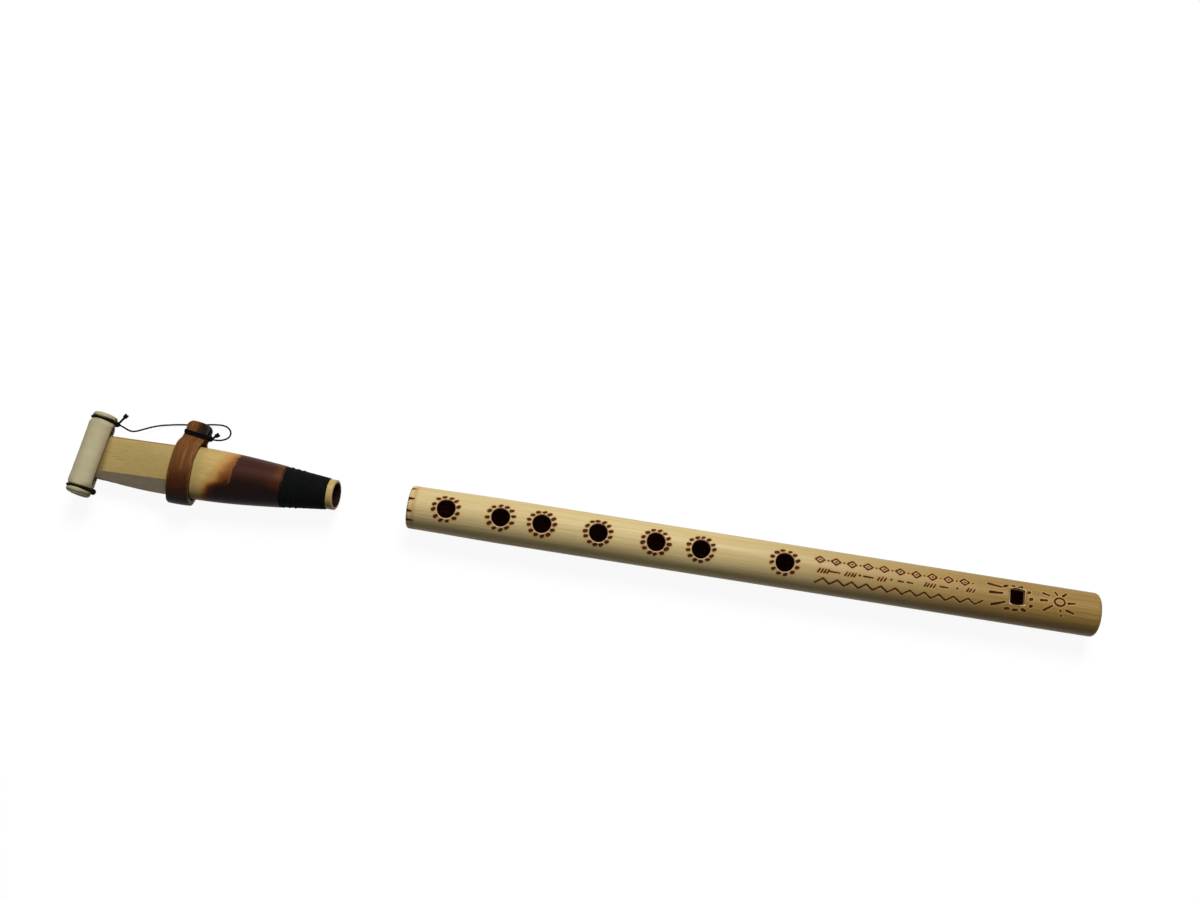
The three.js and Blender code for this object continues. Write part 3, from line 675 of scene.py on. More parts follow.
def shaft_cutter(outline, place, across, side, chamfer=CHAMFER_REACH):
    """Rings of a cutter whose outline, in s and y round its own centre, flares at the tube's surface."""
    outline = np.asarray(outline, float)
    flare = outline * (1 + chamfer / np.linalg.norm(outline, axis=1))[:, None]
    overshoot = outline * (1 + 2 * chamfer / np.linalg.norm(outline, axis=1))[:, None]

    def surface(ring):
        return np.sqrt(tube_radius(place + ring[:, 0]) ** 2 - (across + ring[:, 1]) ** 2)

    rings = [
        (outline, np.full(len(outline), CUTTER_INSIDE)),
        (outline, surface(outline) - CHAMFER_DEPTH),
        (flare, surface(flare) + SKIN_CLEARANCE),
        (overshoot, surface(overshoot) + CUTTER_OVERSHOOT),
        (overshoot, np.full(len(outline), CUTTER_OUTSIDE)),
    ]
    points = [
        np.stack([place + ring[:, 0], across + ring[:, 1], side * height], axis=1) for ring, height in rings
    ]
    faces = skin_faces(len(rings), len(outline))
    return np.vstack(points), faces if side > 0 else [tuple(reversed(face)) for face in faces]


def hole_outline(radius, seed):
    draw = random.Random(seed)
    phases = [draw.uniform(0, 2 * math.pi) for _ in range(3)]
    angles = np.linspace(0, 2 * math.pi, CUTTER_SIDES, endpoint=False)
    wobble = sum(np.cos((order + 2) * angles + phase) / (order + 2) for order, phase in enumerate(phases))
    reach = radius * (1 + HOLE_WOBBLE * wobble)
    return np.stack([reach * np.cos(angles), reach * np.sin(angles)], axis=1)


def window_outline(length, width):
    points = []
    for quarter, (turn_s, turn_y) in enumerate(((1, 1), (-1, 1), (-1, -1), (1, -1))):
        centre = (turn_s * (length / 2 - WINDOW_CORNER), turn_y * (width / 2 - WINDOW_CORNER))
        for step in range(WINDOW_CORNER_STEPS + 1):
            angle = math.radians(90 * quarter + 90 * step / WINDOW_CORNER_STEPS)
            points.append((
                centre[0] + WINDOW_CORNER * math.cos(angle), centre[1] + WINDOW_CORNER * math.sin(angle),
            ))
    return points


def cut_holes(blank):
    cutters = []
    for seed, place in enumerate(HOLE_PLACES):
        cutters.append(shaft_cutter(hole_outline(HOLE_RADIUS, seed), place, 0, 1))
    thumb_hole = hole_outline(THUMB_HOLE_RADIUS, THUMB_HOLE_SEED)
    cutters.append(shaft_cutter(thumb_hole, THUMB_HOLE_PLACE, 0, -1))
    window = window_outline(*WINDOW_SIZE)
    cutters.append(shaft_cutter(window, WINDOW_PLACE, WINDOW_ACROSS, 1, WINDOW_CHAMFER))
    points, faces = [], []
    for ring_points, ring_faces in cutters:
        start = sum(len(done) for done in points)
        faces += [tuple(start + corner for corner in face) for face in ring_faces]
        points.append(ring_points)
    cutter = make_piece("hole_cutters", np.vstack(points), faces, None)
    modifier = blank.modifiers.new("holes", "BOOLEAN")
    modifier.operation, modifier.object, modifier.solver = "DIFFERENCE", cutter, "MANIFOLD"
    shaped = bpy.data.meshes.new_from_object(blank.evaluated_get(bpy.context.evaluated_depsgraph_get()))
    blank.modifiers.remove(modifier)
    blank.data = shaped
    bpy.data.objects.remove(cutter)


cut_holes(tube)
print("tube with its holes:", len(tube.data.vertices), "points")

# %% [markdown]
# The burned ornament is a map of strokes on the tube's skin. A stroke runs between two points
# of the map, in millimetres along the tube and round it, and has a width at each end, counted
# from its middle line to its edge. The dots round the holes and the ticks at the socket come
# first. They are short strokes, set by a hand that wasn't exact.

# %% Ornament: dots and ticks
DOTS_PER_HOLE = (12, 12, 13, 13, 13, 13, 12)
DOT_RING_RADIUS, DOT_RING_FLATTENING, DOT_LENGTH, DOT_WIDTH = 5.6, 0.94, 0.72, 0.76
TICK_COUNT, TICK_START, TICK_LENGTH, TICK_WIDTH, TICK_TAPER = 11, 0.2, 2.7, 0.62, 0.55
STROKE_WIDTH = 0.55


def round_it(place, across):
    """A place seen from above, as a point on the unrolled skin."""
    radius = float(tube_radius(place))
    return place, radius * math.asin(across / radius)


def stroke(start, end, width=STROKE_WIDTH, taper=1.0):
    return (*round_it(*start), *round_it(*end), width, width * taper)


def dot_strokes(draw):
    strokes = []
    for place, count in zip(HOLE_PLACES, DOTS_PER_HOLE):
        first = draw.uniform(0, 2 * math.pi)
        for index in range(count):
            angle = first + 2 * math.pi * (index + draw.uniform(-0.1, 0.1)) / count
            reach = DOT_RING_RADIUS + draw.uniform(-0.12, 0.15)
            centre = (place + reach * math.cos(angle), reach * math.sin(angle) * DOT_RING_FLATTENING)
            lean = math.radians(draw.uniform(5, 40))
            half = DOT_LENGTH / 2 * draw.uniform(0.8, 1.2)
            step = (half * math.cos(lean), half * math.sin(lean))
            width = DOT_WIDTH * draw.uniform(0.88, 1.1)
            start, end = ((centre[0] + turn * step[0], centre[1] + turn * step[1]) for turn in (-1, 1))
            strokes.append(stroke(start, end, width, draw.uniform(0.8, 1.0)))
    return strokes


def tick_strokes(draw):
    """Short burns that run in from the socket's rim, all the way round."""
    strokes = []
    circumference = 2 * math.pi * TUBE_SOCKET_RADIUS
    for index in range(TICK_COUNT):
        start = circumference * ((index + draw.uniform(-0.15, 0.15)) / TICK_COUNT - 0.5)
        length = TICK_LENGTH * draw.uniform(0.85, 1.25)
        end = start + draw.uniform(-0.4, 0.5)
        strokes.append((TICK_START, start, length, end, TICK_WIDTH, TICK_WIDTH * TICK_TAPER))
    return strokes


print("dots round the holes:", sum(DOTS_PER_HOLE), "and ticks at the socket:", TICK_COUNT)

# %% [markdown]
# Rays lead up to the window, short marks lean along its two sides, and three dots close the
# pattern. Past them, near the foot, is a small sun: a ring with rays of uneven length. These
# strokes are listed one by one, because the hand that burned them followed no rule.

# %% Ornament: window and sun
WINDOW_RAYS = [((251.8, 4.9), (257.3, 4.2)), ((252.6, 1.2), (257.8, 1.5)), ((253.8, -3.9), (259, -2.1))]
WINDOW_RAY_WIDTH, WINDOW_RAY_TAPER = 0.66, 0.7
SIDE_MARKS = [
    ((259.3, 5.1), 0.3), ((262.3, 5.3), 0.3), ((265.6, 5.4), 0.3),
    ((260.4, -4.6), 0.1), ((263.9, -4.7), 0.1), ((267.4, -4.3), -0.2),
]
SIDE_MARK_HALF_LENGTH, SIDE_MARK_WIDTH, SIDE_MARK_TAPER = 0.6, 0.68, 0.9
END_DOTS, END_DOT_WIDTH = ((268.9, 3.5), (269.8, 0.6), (270.0, -2.3)), 0.72
SUN_PLACE, SUN_ACROSS, SUN_RING = 282.2, 1.5, (2.2, 1.7)
SUN_RING_STEPS, SUN_RING_WIDTH = 14, 0.44
SUN_RAYS = [
    ((-8.0, -0.4), (-5.3, -0.1)), ((-7.0, 2.9), (-4.4, 2.2)), ((-6.5, -4.4), (-3.2, -2.2)),
    ((-1.7, 4.2), (-1.0, 2.9)), ((1.3, 2.8), (3.1, 4.2)), ((3.7, -0.1), (6.3, 0.3)),
    ((3.1, -3.2), (6.1, -4.0)), ((0.5, -3.7), (0.7, -3.9)), ((1.1, -5.6), (1.2, -5.8)),
]
SUN_RAY_WIDTH, SUN_RAY_TAPER = 0.54, 0.8


def window_strokes():
    strokes = [stroke(start, end, WINDOW_RAY_WIDTH, WINDOW_RAY_TAPER) for start, end in WINDOW_RAYS]
    for (s, y), lean in SIDE_MARKS:
        start, end = (s - SIDE_MARK_HALF_LENGTH, y - lean), (s + SIDE_MARK_HALF_LENGTH, y + lean)
        strokes.append(stroke(start, end, SIDE_MARK_WIDTH, SIDE_MARK_TAPER))
    return strokes + [stroke((s, y), (s + 0.4, y + 0.2), END_DOT_WIDTH) for s, y in END_DOTS]


def sun_strokes():
    def spot(step):
        angle = 2 * math.pi * step / SUN_RING_STEPS
        return SUN_PLACE + SUN_RING[0] * math.cos(angle), SUN_ACROSS + SUN_RING[1] * math.sin(angle)

    strokes = [stroke(spot(step), spot(step + 1), SUN_RING_WIDTH) for step in range(SUN_RING_STEPS)]
    for (start_s, start_y), (end_s, end_y) in SUN_RAYS:
        start, end = (SUN_PLACE + start_s, SUN_ACROSS + start_y), (SUN_PLACE + end_s, SUN_ACROSS + end_y)
        strokes.append(stroke(start, end, SUN_RAY_WIDTH, SUN_RAY_TAPER))
    return strokes


print("strokes of the window:", len(window_strokes()), "and of the sun:", len(sun_strokes()))

# %% [markdown]
# Between the last hole and the window run three rows. A line of slashes, dashes and dots keeps
# the middle, with a row of plain lozenges on one side of it and a zigzag on the other. The
# lines stay thin, because they are drawn with the iron's tip.

# %% Ornament: rows along the tube
MIDDLE_ROW = [
    ("slashes", 179.0, 4), ("dash", 184.3, 4.0), ("slashes", 190.6, 4), ("dot", 196.8, 0),
    ("dash", 198.6, 4.0), ("slashes", 204.8, 3), ("dot", 210.3, 0), ("dash", 213.4, 2.2),
    ("dash", 217.4, 2.2), ("slashes", 224.6, 4), ("dash", 231.2, 3.4), ("dot", 238.4, 0),
    ("slashes", 242.6, 3),
]
ROW_START, ROW_LENGTH, ROW_ACROSS = 179, 70, (-1.2, 0.5)
ROW_WIDTH, ROW_TAPER, ROW_DOT_WIDTH = 0.38, 0.8, 0.45
SLASH_PITCH, SLASH_HALF_HEIGHT, SLASH_LEAN = 1.35, 0.75, 0.8
LOZENGE_ROW = (179.5, 3.7, 10, 6.9)
LOZENGE_CORNERS = ((2.0, 0), (0, 1.45), (-2.0, 0), (0, -1.45))
ZIGZAG_ROW = (178.5, -5.2, 24, 3.1)
ZIGZAG_HEIGHT, ZIGZAG_CLIMB = 1.0, 0.055
MOTIF_WIDTH, MOTIF_DOT_WIDTH, MOTIF_DOT_LENGTH = 0.36, 0.42, 0.1
ORNAMENT_SEED = 5


def middle_row_strokes(draw):
    strokes = []
    for kind, place, measure in MIDDLE_ROW:
        across = mix(*ROW_ACROSS, (place - ROW_START) / ROW_LENGTH) + draw.uniform(-0.15, 0.15)
        if kind == "dash":
            strokes.append(stroke((place, across), (place + measure, across - 0.1), ROW_WIDTH, ROW_TAPER))
        elif kind == "dot":
            strokes.append(stroke((place, across), (place + 0.2, across), ROW_DOT_WIDTH))
        else:
            for index in range(measure):
                foot = place + index * SLASH_PITCH + draw.uniform(-0.15, 0.15)
                head = (foot + SLASH_LEAN, across + SLASH_HALF_HEIGHT)
                strokes.append(stroke((foot, across - SLASH_HALF_HEIGHT), head, ROW_WIDTH, ROW_TAPER))
    return strokes


def motif_dot(place, across):
    return stroke((place, across), (place + MOTIF_DOT_LENGTH, across), MOTIF_DOT_WIDTH)


def motif_strokes(draw):
    """The lozenges with their dots, and the zigzag."""
    strokes = []
    first, across, count, pitch = LOZENGE_ROW
    for index in range(count):
        middle = (first + pitch * index, across + draw.uniform(-0.12, 0.12))
        corners = [(middle[0] + s, middle[1] + y) for s, y in LOZENGE_CORNERS]
        strokes += [stroke(corners[side], corners[(side + 1) % 4], MOTIF_WIDTH) for side in range(4)]
        strokes.append(motif_dot(*middle))
        strokes.append(motif_dot(middle[0] + pitch / 2, across))
    first, across, count, pitch = ZIGZAG_ROW
    rise = [1 if index % 2 else -1 for index in range(count)]
    peaks = [
        (first + pitch * index, across + ZIGZAG_HEIGHT * turn + index * ZIGZAG_CLIMB)
        for index, turn in enumerate(rise)
    ]
    strokes += [stroke(start, end, MOTIF_WIDTH) for start, end in zip(peaks, peaks[1:])]
    return strokes


def all_strokes():
    draw = random.Random(ORNAMENT_SEED)
    strokes = dot_strokes(draw) + tick_strokes(draw) + window_strokes() + sun_strokes()
    return np.array(strokes + middle_row_strokes(draw) + motif_strokes(draw))


ornament = all_strokes()
print("burned strokes:", len(ornament))

# %% [markdown]
# Each point of the skin now gets its distance to the nearest stroke. The iron also sinks into
# the cane, so points inside a stroke move in by up to a quarter of a millimetre.

# %% Body tube: burn the ornament in
FAR_FROM_MARKS = 5.0
BURN_DEPTH, BURN_SLOPE = 0.26, 0.55
SKIN_TOLERANCE, RIM_INNER_REACH = 0.03, 8.4


def distance_to_strokes(places, rounds, strokes):
    nearest = np.full(len(places), FAR_FROM_MARKS)
    for start_s, start_w, end_s, end_w, width, end_width in strokes:
        reach = FAR_FROM_MARKS / 2
        low_s, high_s = min(start_s, end_s) - reach, max(start_s, end_s) + reach
        low_w, high_w = min(start_w, end_w) - reach, max(start_w, end_w) + reach
        near = np.flatnonzero((places > low_s) & (places < high_s) & (rounds > low_w) & (rounds < high_w))
        along, up = end_s - start_s, end_w - start_w
        share = ((places[near] - start_s) * along + (rounds[near] - start_w) * up) / (along ** 2 + up ** 2)
        share = np.clip(share, 0, 1)
        away = np.hypot(places[near] - start_s - share * along, rounds[near] - start_w - share * up)
        nearest[near] = np.minimum(nearest[near], away - mix(width, end_width, share))
    return nearest


def burn_ornament(piece):
    points = points_of(piece)
    reach = np.hypot(points[:, 1], points[:, 2])
    radius = tube_radius(points[:, 0])
    rim = (points[:, 0] < SOCKET_RIM_ROUND) & (reach > RIM_INNER_REACH)
    skin = (reach > radius - SKIN_TOLERANCE) | rim
    rounds = np.arctan2(points[:, 1], points[:, 2]) * radius
    distance = np.full(len(points), FAR_FROM_MARKS)
    distance[skin] = distance_to_strokes(points[skin, 0], rounds[skin], ornament)
    depth = BURN_DEPTH * ease(-distance / BURN_SLOPE)
    points[:, 1:] *= (1 - depth / reach)[:, None]
    piece.data.vertices.foreach_set("co", to_row(points).astype(np.float32).ravel())
    keep_values(piece, "mark_distance", distance)


burn_ornament(tube)
print("ornament burned in, at most", BURN_DEPTH, "mm deep")

# %% [markdown]
# The boolean leaves one mesh, so its faces are sorted by where they lie: each gets the finish of
# the varnished skin, of the cut cane, of a burned wall or of the bore.

# %% Body tube: a finish for every face
SKIN, CUT_CANE, BURNED_WALL, BORE = range(4)
HOLE_FACE_REACH, SKIN_DEPTH, WALL_DEPTH = 0.38, 0.06, CHAMFER_DEPTH + 0.1
FOOT_CUT_REACH, NEAR_BORE = 7.6, BORE_RADIUS + 0.05
TUBE_CREASE = 32


def sort_tube_faces(piece):
    """Gives each face its finish by where it lies: skin, cut wood, burned wall or bore."""
    middles = np.zeros(len(piece.data.polygons) * 3, np.float32)
    piece.data.polygons.foreach_get("center", middles)
    middles = (middles.reshape(-1, 3) - np.array(SOCKET_FACE)) / MM
    s, y, z = middles.T
    reach = np.hypot(y, z)
    depth = tube_radius(s) - reach
    chosen = np.full(len(middles), SKIN)
    chosen[(reach < SOCKET_MOUTH_RADIUS + 0.3) & (s < SOCKET_DEPTH + 0.2)] = BORE
    chosen[reach < NEAR_BORE] = BORE
    chosen[(s < 0.05) | (s > TUBE_LENGTH - 0.3) & (reach < FOOT_CUT_REACH)] = CUT_CANE
    holes = [(place, HOLE_RADIUS, 1) for place in HOLE_PLACES] + [(THUMB_HOLE_PLACE, THUMB_HOLE_RADIUS, -1)]
    for place, radius, side in holes:
        inside = (np.hypot(s - place, y) < radius + HOLE_FACE_REACH) & (side * z > 0) & (reach > NEAR_BORE)
        chosen[inside & (depth > SKIN_DEPTH)] = CUT_CANE
        chosen[inside & (depth > WALL_DEPTH)] = BURNED_WALL
    half_s, half_y = WINDOW_SIZE[0] / 2 + WINDOW_CHAMFER, WINDOW_SIZE[1] / 2 + WINDOW_CHAMFER
    inside = (abs(s - WINDOW_PLACE) < half_s) & (abs(y - WINDOW_ACROSS) < half_y) & (z > 0)
    chosen[inside & (depth > SKIN_DEPTH) & (reach > NEAR_BORE)] = CUT_CANE
    piece.data.polygons.foreach_set("material_index", chosen)


def crease(piece, degrees):
    piece.data.polygons.foreach_set("use_smooth", [True] * len(piece.data.polygons))
    piece.data.set_sharp_from_angle(angle=math.radians(degrees))
    piece.data.update()


tube.data.materials.clear()
for material in tube_materials:
    tube.data.materials.append(material)
sort_tube_faces(tube)
crease(tube, TUBE_CREASE)
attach(tube, "body")
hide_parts("body_tube")
print("tube faces by finish:", np.bincount([face.material_index for face in tube.data.polygons]))

# %% [markdown]
# The reed is one length of cane. Its mouth end was soaked, pressed flat and sanded, its middle
# keeps the round of the cane, and its tenon is turned down to fit the socket. The sides of the
# blade are sanded flat: a wide bevel on the near side and a narrow, steep one on the far side.
# The tenon's end is cut a little askew, so that its upper edge lies further back.
# Places along the reed are counted from the tenon's end towards the mouth, in millimetres.

# %% Reed: sizes and sections
REED_GAP, REED_LENGTH = 32.2, 113.5
TENON_TIP_RADIUS, TENON_BORE_RADIUS, TENON_RIM = 6.65, 5.35, 4.0
WRAP_LENGTH, WRAP_SEAT_TIP, WRAP_SEAT_ROOT = 20.0, 6.05, 8.2
NECK_RADIUS, NECK_WALL, BORE_TAPER_END = 9.25, 2.0, 30.0
PRESS_START, BLADE_SPREAD_END = 45.0, 62.0
BLADE_HALF_WIDTH, MOUTH_HALF_WIDTH, MOUTH_HALF_THICKNESS = 11.7, 10.9, 2.4
BLADE_WALL, LIP_WALL, LIP_REACH = 1.7, 0.9, 22
ROUND_FULLNESS, PRESSED_FULLNESS = 2.0, 2.5
NEAR_FLAT, FAR_FLAT = (-1, 6.0, math.radians(50)), (1, 10.2, math.radians(80))
FLAT_RUN_OUT, FLAT_RUN_OUT_DEPTH = 8.0, 5.0
BRIDLE_PLACE = 68.3
END_CUT = math.tan(math.radians(6))
REED_SPACING = 0.6
WRAP_END = TENON_RIM + WRAP_LENGTH


def cane_radius(place):
    return mix(TENON_TIP_RADIUS, NECK_RADIUS, float(np.clip((place - TENON_RIM) / WRAP_LENGTH, 0, 1)))


def reed_half_width(place):
    if place < WRAP_END:
        return cane_radius(place)
    spread = float(np.clip((place - WRAP_END) / (BLADE_SPREAD_END - WRAP_END), 0, 1))
    narrowing = float(np.clip((place - BLADE_SPREAD_END) / (REED_LENGTH - BLADE_SPREAD_END), 0, 1))
    width = mix(NECK_RADIUS, BLADE_HALF_WIDTH, math.sin(spread * math.pi / 2))
    return width - narrowing * (BLADE_HALF_WIDTH - MOUTH_HALF_WIDTH)


def press_share(place):
    return float(ease((place - PRESS_START) / (REED_LENGTH - PRESS_START)))


def reed_half_thickness(place):
    return mix(cane_radius(place), MOUTH_HALF_THICKNESS, press_share(place))


def reed_fullness(place):
    return mix(ROUND_FULLNESS, PRESSED_FULLNESS, min(1.0, press_share(place) * 2))


def reed_wall(place):
    if place < BORE_TAPER_END:
        return mix(TENON_TIP_RADIUS - TENON_BORE_RADIUS, NECK_WALL, float(ease(place / BORE_TAPER_END)))
    share = min(1.0, (place - BORE_TAPER_END) / (BLADE_SPREAD_END - BORE_TAPER_END))
    wall = mix(NECK_WALL, BLADE_WALL, share)
    return mix(wall, LIP_WALL, float(ease((place - REED_LENGTH + LIP_REACH) / LIP_REACH)))


def face_height(place, across):
    fullness = reed_fullness(place)
    share = min(1.0, abs(across) / reed_half_width(place))
    return reed_half_thickness(place) * (1 - share ** fullness) ** (1 / fullness)


def flat_limit(place, flat):
    """How far from the axis the sanded plane lies, and its normal."""
    side, edge, turn = flat
    run_out = float(ease((BRIDLE_PLACE - place) / FLAT_RUN_OUT)) * FLAT_RUN_OUT_DEPTH
    limit = edge * math.sin(turn) + face_height(place, edge) * math.cos(turn) + run_out
    return np.array([side * math.sin(turn), math.cos(turn)]), limit


for place in (WRAP_END, BRIDLE_PLACE, REED_LENGTH):
    across, up = 2 * reed_half_width(place), 2 * reed_half_thickness(place)
    print(f"reed at {place:.1f} mm: {across:.1f} mm wide, {up:.1f} mm thick")

# %% Reed: columns that follow the sanded edges
REED_TOP_COLUMNS, REED_NEAR_COLUMNS, REED_UNDER_COLUMNS, REED_FAR_COLUMNS = 40, 18, 44, 12
FLAT_SEARCH_STEPS = 1500


def section_point(place, angle, depth=0.0):
    """A place on the pressed section at a depth under its face, before any sanding."""
    bend = 2 / reed_fullness(place)
    across, up = np.cos(angle), np.sin(angle)
    y = (reed_half_width(place) - depth) * np.sign(across) * np.abs(across) ** bend
    z = (reed_half_thickness(place) - depth) * np.sign(up) * np.abs(up) ** bend
    return y, z


def flat_edges(place, flat):
    """The first and last angle at which a sanded plane cuts the section."""
    side, edge = flat[:2]
    normal, limit = flat_limit(place, flat)
    upper = math.acos((edge / reed_half_width(place)) ** (reed_fullness(place) / 2))
    reach = np.linspace(upper + 0.02, upper - math.pi / 2, FLAT_SEARCH_STEPS)
    angles = reach if side > 0 else math.pi - reach
    y, z = section_point(place, angles)
    cut = np.nonzero(y * normal[0] + z * normal[1] > limit + 1e-4)[0]
    lower = reach[cut[-1]]
    return (upper, lower) if side > 0 else (math.pi - upper, math.pi - lower)


def section_angles(place):
    """Angles of the columns: the edges of the flats always fall on the same columns."""
    near_start, near_end = flat_edges(max(place, BRIDLE_PLACE), NEAR_FLAT)
    far_end, far_start = flat_edges(max(place, BRIDLE_PLACE), FAR_FLAT)
    return np.concatenate([
        np.linspace(far_end, near_start, REED_TOP_COLUMNS, endpoint=False),
        np.linspace(near_start, near_end, REED_NEAR_COLUMNS, endpoint=False),
        np.linspace(near_end, 2 * math.pi + far_start, REED_UNDER_COLUMNS, endpoint=False),
        np.linspace(far_start, far_end, REED_FAR_COLUMNS, endpoint=False),
    ])


def reed_ring(place, depth, angles):
    """A ring of the reed at a depth under its face, as places across and up."""
    y, z = section_point(place, angles, depth)
    if place > BLADE_SPREAD_END - FLAT_RUN_OUT:
        for flat in (NEAR_FLAT, FAR_FLAT):
            normal, limit = flat_limit(place, flat)
            reach = y * normal[0] + z * normal[1]
            shrink = np.minimum(1, (limit - depth) / np.maximum(reach, limit - depth))
            y, z = y * shrink, z * shrink
    return y, z


def reed_profile():
    """(place, depth under the face) from the tenon's end out over the reed and back in its bore."""
    tip = [(0.0, 0.5), (0.08, 0.22), (0.25, 0.06), (0.5, 0.0)]
    rim = [(place, 0.0) for place in np.arange(1.0, TENON_RIM + 0.01, 0.5)]
    seat = [
        (place, cane_radius(place) - mix(WRAP_SEAT_TIP, WRAP_SEAT_ROOT, (place - TENON_RIM) / WRAP_LENGTH))
        for place in np.linspace(TENON_RIM + 0.05, WRAP_END - 0.05, 24)
    ]
    body = [(place, 0.0) for place in np.arange(WRAP_END, REED_LENGTH - 0.5, REED_SPACING)]
    lips = [(REED_LENGTH - 0.25, 0.04), (REED_LENGTH - 0.05, 0.2), (REED_LENGTH, 0.4)]
    inner = [(REED_LENGTH, reed_wall(REED_LENGTH) - 0.1)]
    inner += [(place, reed_wall(place)) for place in np.arange(REED_LENGTH - 0.4, 0.6, -1.2)]
    return tip + rim + seat + body + lips + inner + [(0.15, reed_wall(0) + 0.02), (0.0, reed_wall(0) - 0.15)]


def reed_surface():
    points = []
    for place, depth in reed_profile():
        y, z = reed_ring(place, depth, section_angles(place))
        cut_back = END_CUT * (z + TENON_TIP_RADIUS) * max(0.0, 1 - place / TENON_RIM)
        points.append(np.stack([-REED_GAP - place - cut_back, y, z], axis=1))
    faces = skin_faces(len(points), len(points[0]), closed=True)
    return np.vstack(points), [tuple(reversed(face)) for face in faces]


print("reed rings:", len(reed_profile()))

# %% [markdown]
# The reed's finish tells how it was made. The blade is bare scraped cane, tan with fine streaks.
# From the bridle to the tenon the rind is kept, and the neck was browned over a flame: gold, then
# a ragged edge, then dark red-brown that fades to a lighter brown at the wrap. The near side of
# the neck is darkened further with painted shade, and the rim at the tenon's end is clean.

# %% Finish: reed cane
REED_TAN = colour(184, 160, 101)
REED_STREAK = colour(152, 126, 72)
REED_SHADE = colour(166, 141, 84)
REED_RIND = colour(206, 176, 110)
SEAM_SHADE_OLIVE = colour(84, 70, 30)
RIND_PLACE = (62.0, 58.0)
EDGE_RAGGED, EDGE_WANDER, EDGE_FIBRE, EDGE_SLANT = 1.6, 2.6, 0.5, 0.1
BROWNED_PLACE, GOLD_SLANT, GOLD_HEAT = (60.0, 46.0), 0.35, 0.5
DARK_EDGE, DARK_HEAT = 46.4, 0.3
FADED_PLACE, FADED_LOSS = (34.0, 25.0), 0.19
# Painted shade: the near half and the underside of the neck are darkened through the heat's colours.
LOWER_HALF_SHADE, LOWER_HALF_SHADE_PLACE, LOWER_HALF_SHADE_HEAT = (2.5, -7.0), (53.0, 44.0), 0.32
UNDERSIDE_SHADE, UNDERSIDE_SHADE_PLACE, UNDERSIDE_SHADE_HEAT = (-3.0, -8.0), (60.0, 49.0), 0.55
CLEAN_RIM_PLACE = (3.9, 4.2)


def reed_places(tree, coordinates):
    """Millimetres from the tenon's end towards the mouth, and across from the middle line."""
    apart = add(tree, "ShaderNodeSeparateXYZ", Vector=coordinates).outputs
    tenon_end = SOCKET_X - REED_GAP * MM
    place = product(tree, maths(tree, "SUBTRACT", tenon_end, apart[0]), METRE_IN_MM)
    across = product(tree, maths(tree, "SUBTRACT", apart[1], SOCKET_FACE.y), METRE_IN_MM)
    return place, across


def reed_base(tree, coordinates, place):
    grain = use_group(tree, cane_grain, Coordinates=coordinates, Streak_Width=0.42, Streak_Length=60.0)
    base = blended(tree, ranged(tree, place, *RIND_PLACE), REED_TAN, REED_RIND)
    base = glazed(tree, base, REED_STREAK, grain["Streaks"], 0.34)
    base = glazed(tree, base, REED_SHADE, grain["Bands"], 0.3)
    return grain, glazed(tree, base, TUBE_FLECK, grain["Flecks"], 0.35)


def flame_heat(tree, coordinates, place, across, streaks):
    """Flame heat along the neck plus painted shade on its near side, and the ragged place its dark edge
    follows.
    """
    ragged = swing(tree, noise(tree, coordinates, 420.0, detail=3.0, roughness=0.6), EDGE_RAGGED)
    wander = swing(tree, noise(tree, coordinates, 150.0, detail=1.0), EDGE_WANDER)
    fibre = swing(tree, streaks, EDGE_FIBRE)
    edge = summed(tree, place, ragged, wander, fibre, product(tree, across, EDGE_SLANT))
    lower_first = summed(tree, edge, product(tree, across, GOLD_SLANT))
    gold = product(tree, ranged(tree, lower_first, *BROWNED_PLACE), GOLD_HEAT)
    dark = product(tree, ranged(tree, edge, DARK_EDGE + 0.7, DARK_EDGE - 1.9), DARK_HEAT)
    fading = product(tree, ranged(tree, edge, *FADED_PLACE), FADED_LOSS)
    # The near side is darker still: painted shade, carried by the heat's colours.
    lower_half_shade = product(
        tree, ranged(tree, across, *LOWER_HALF_SHADE), ranged(tree, edge, *LOWER_HALF_SHADE_PLACE), LOWER_HALF_SHADE_HEAT,
    )
    underside_shade = product(
        tree, ranged(tree, across, *UNDERSIDE_SHADE), ranged(tree, edge, *UNDERSIDE_SHADE_PLACE), UNDERSIDE_SHADE_HEAT,
    )
    heat = maths(tree, "SUBTRACT", summed(tree, gold, dark), fading)
    heat = summed(tree, heat, lower_half_shade, underside_shade)
    return maths(tree, "MULTIPLY", heat, ranged(tree, place, *CLEAN_RIM_PLACE), clamp=True), edge


print("the flame's dark edge lies", DARK_EDGE, "mm from the tenon's end")

# %% [markdown]
# The heat is painted over the cane's own colours. A thin pale line follows the dark edge, where
# the flame only touched the cane. The blade is darkened olive towards the cap's edge with painted
# shade, a brown line runs along its far edge, and the rind shines a little where hands have held it.

# %% Finish: reed skin
FLAME_LINE, FLAME_LINE_STRENGTH = colour(186, 132, 92), 0.22
CAPPED_SHADE_PLACE, CAPPED_SHADE_STRENGTH = (102.2, 105.6), 0.7
SIDE_LINE, SIDE_LINE_STRENGTH = colour(112, 78, 40), 0.6
SMOKE, HANDLED_COAT = 0.08, 0.07


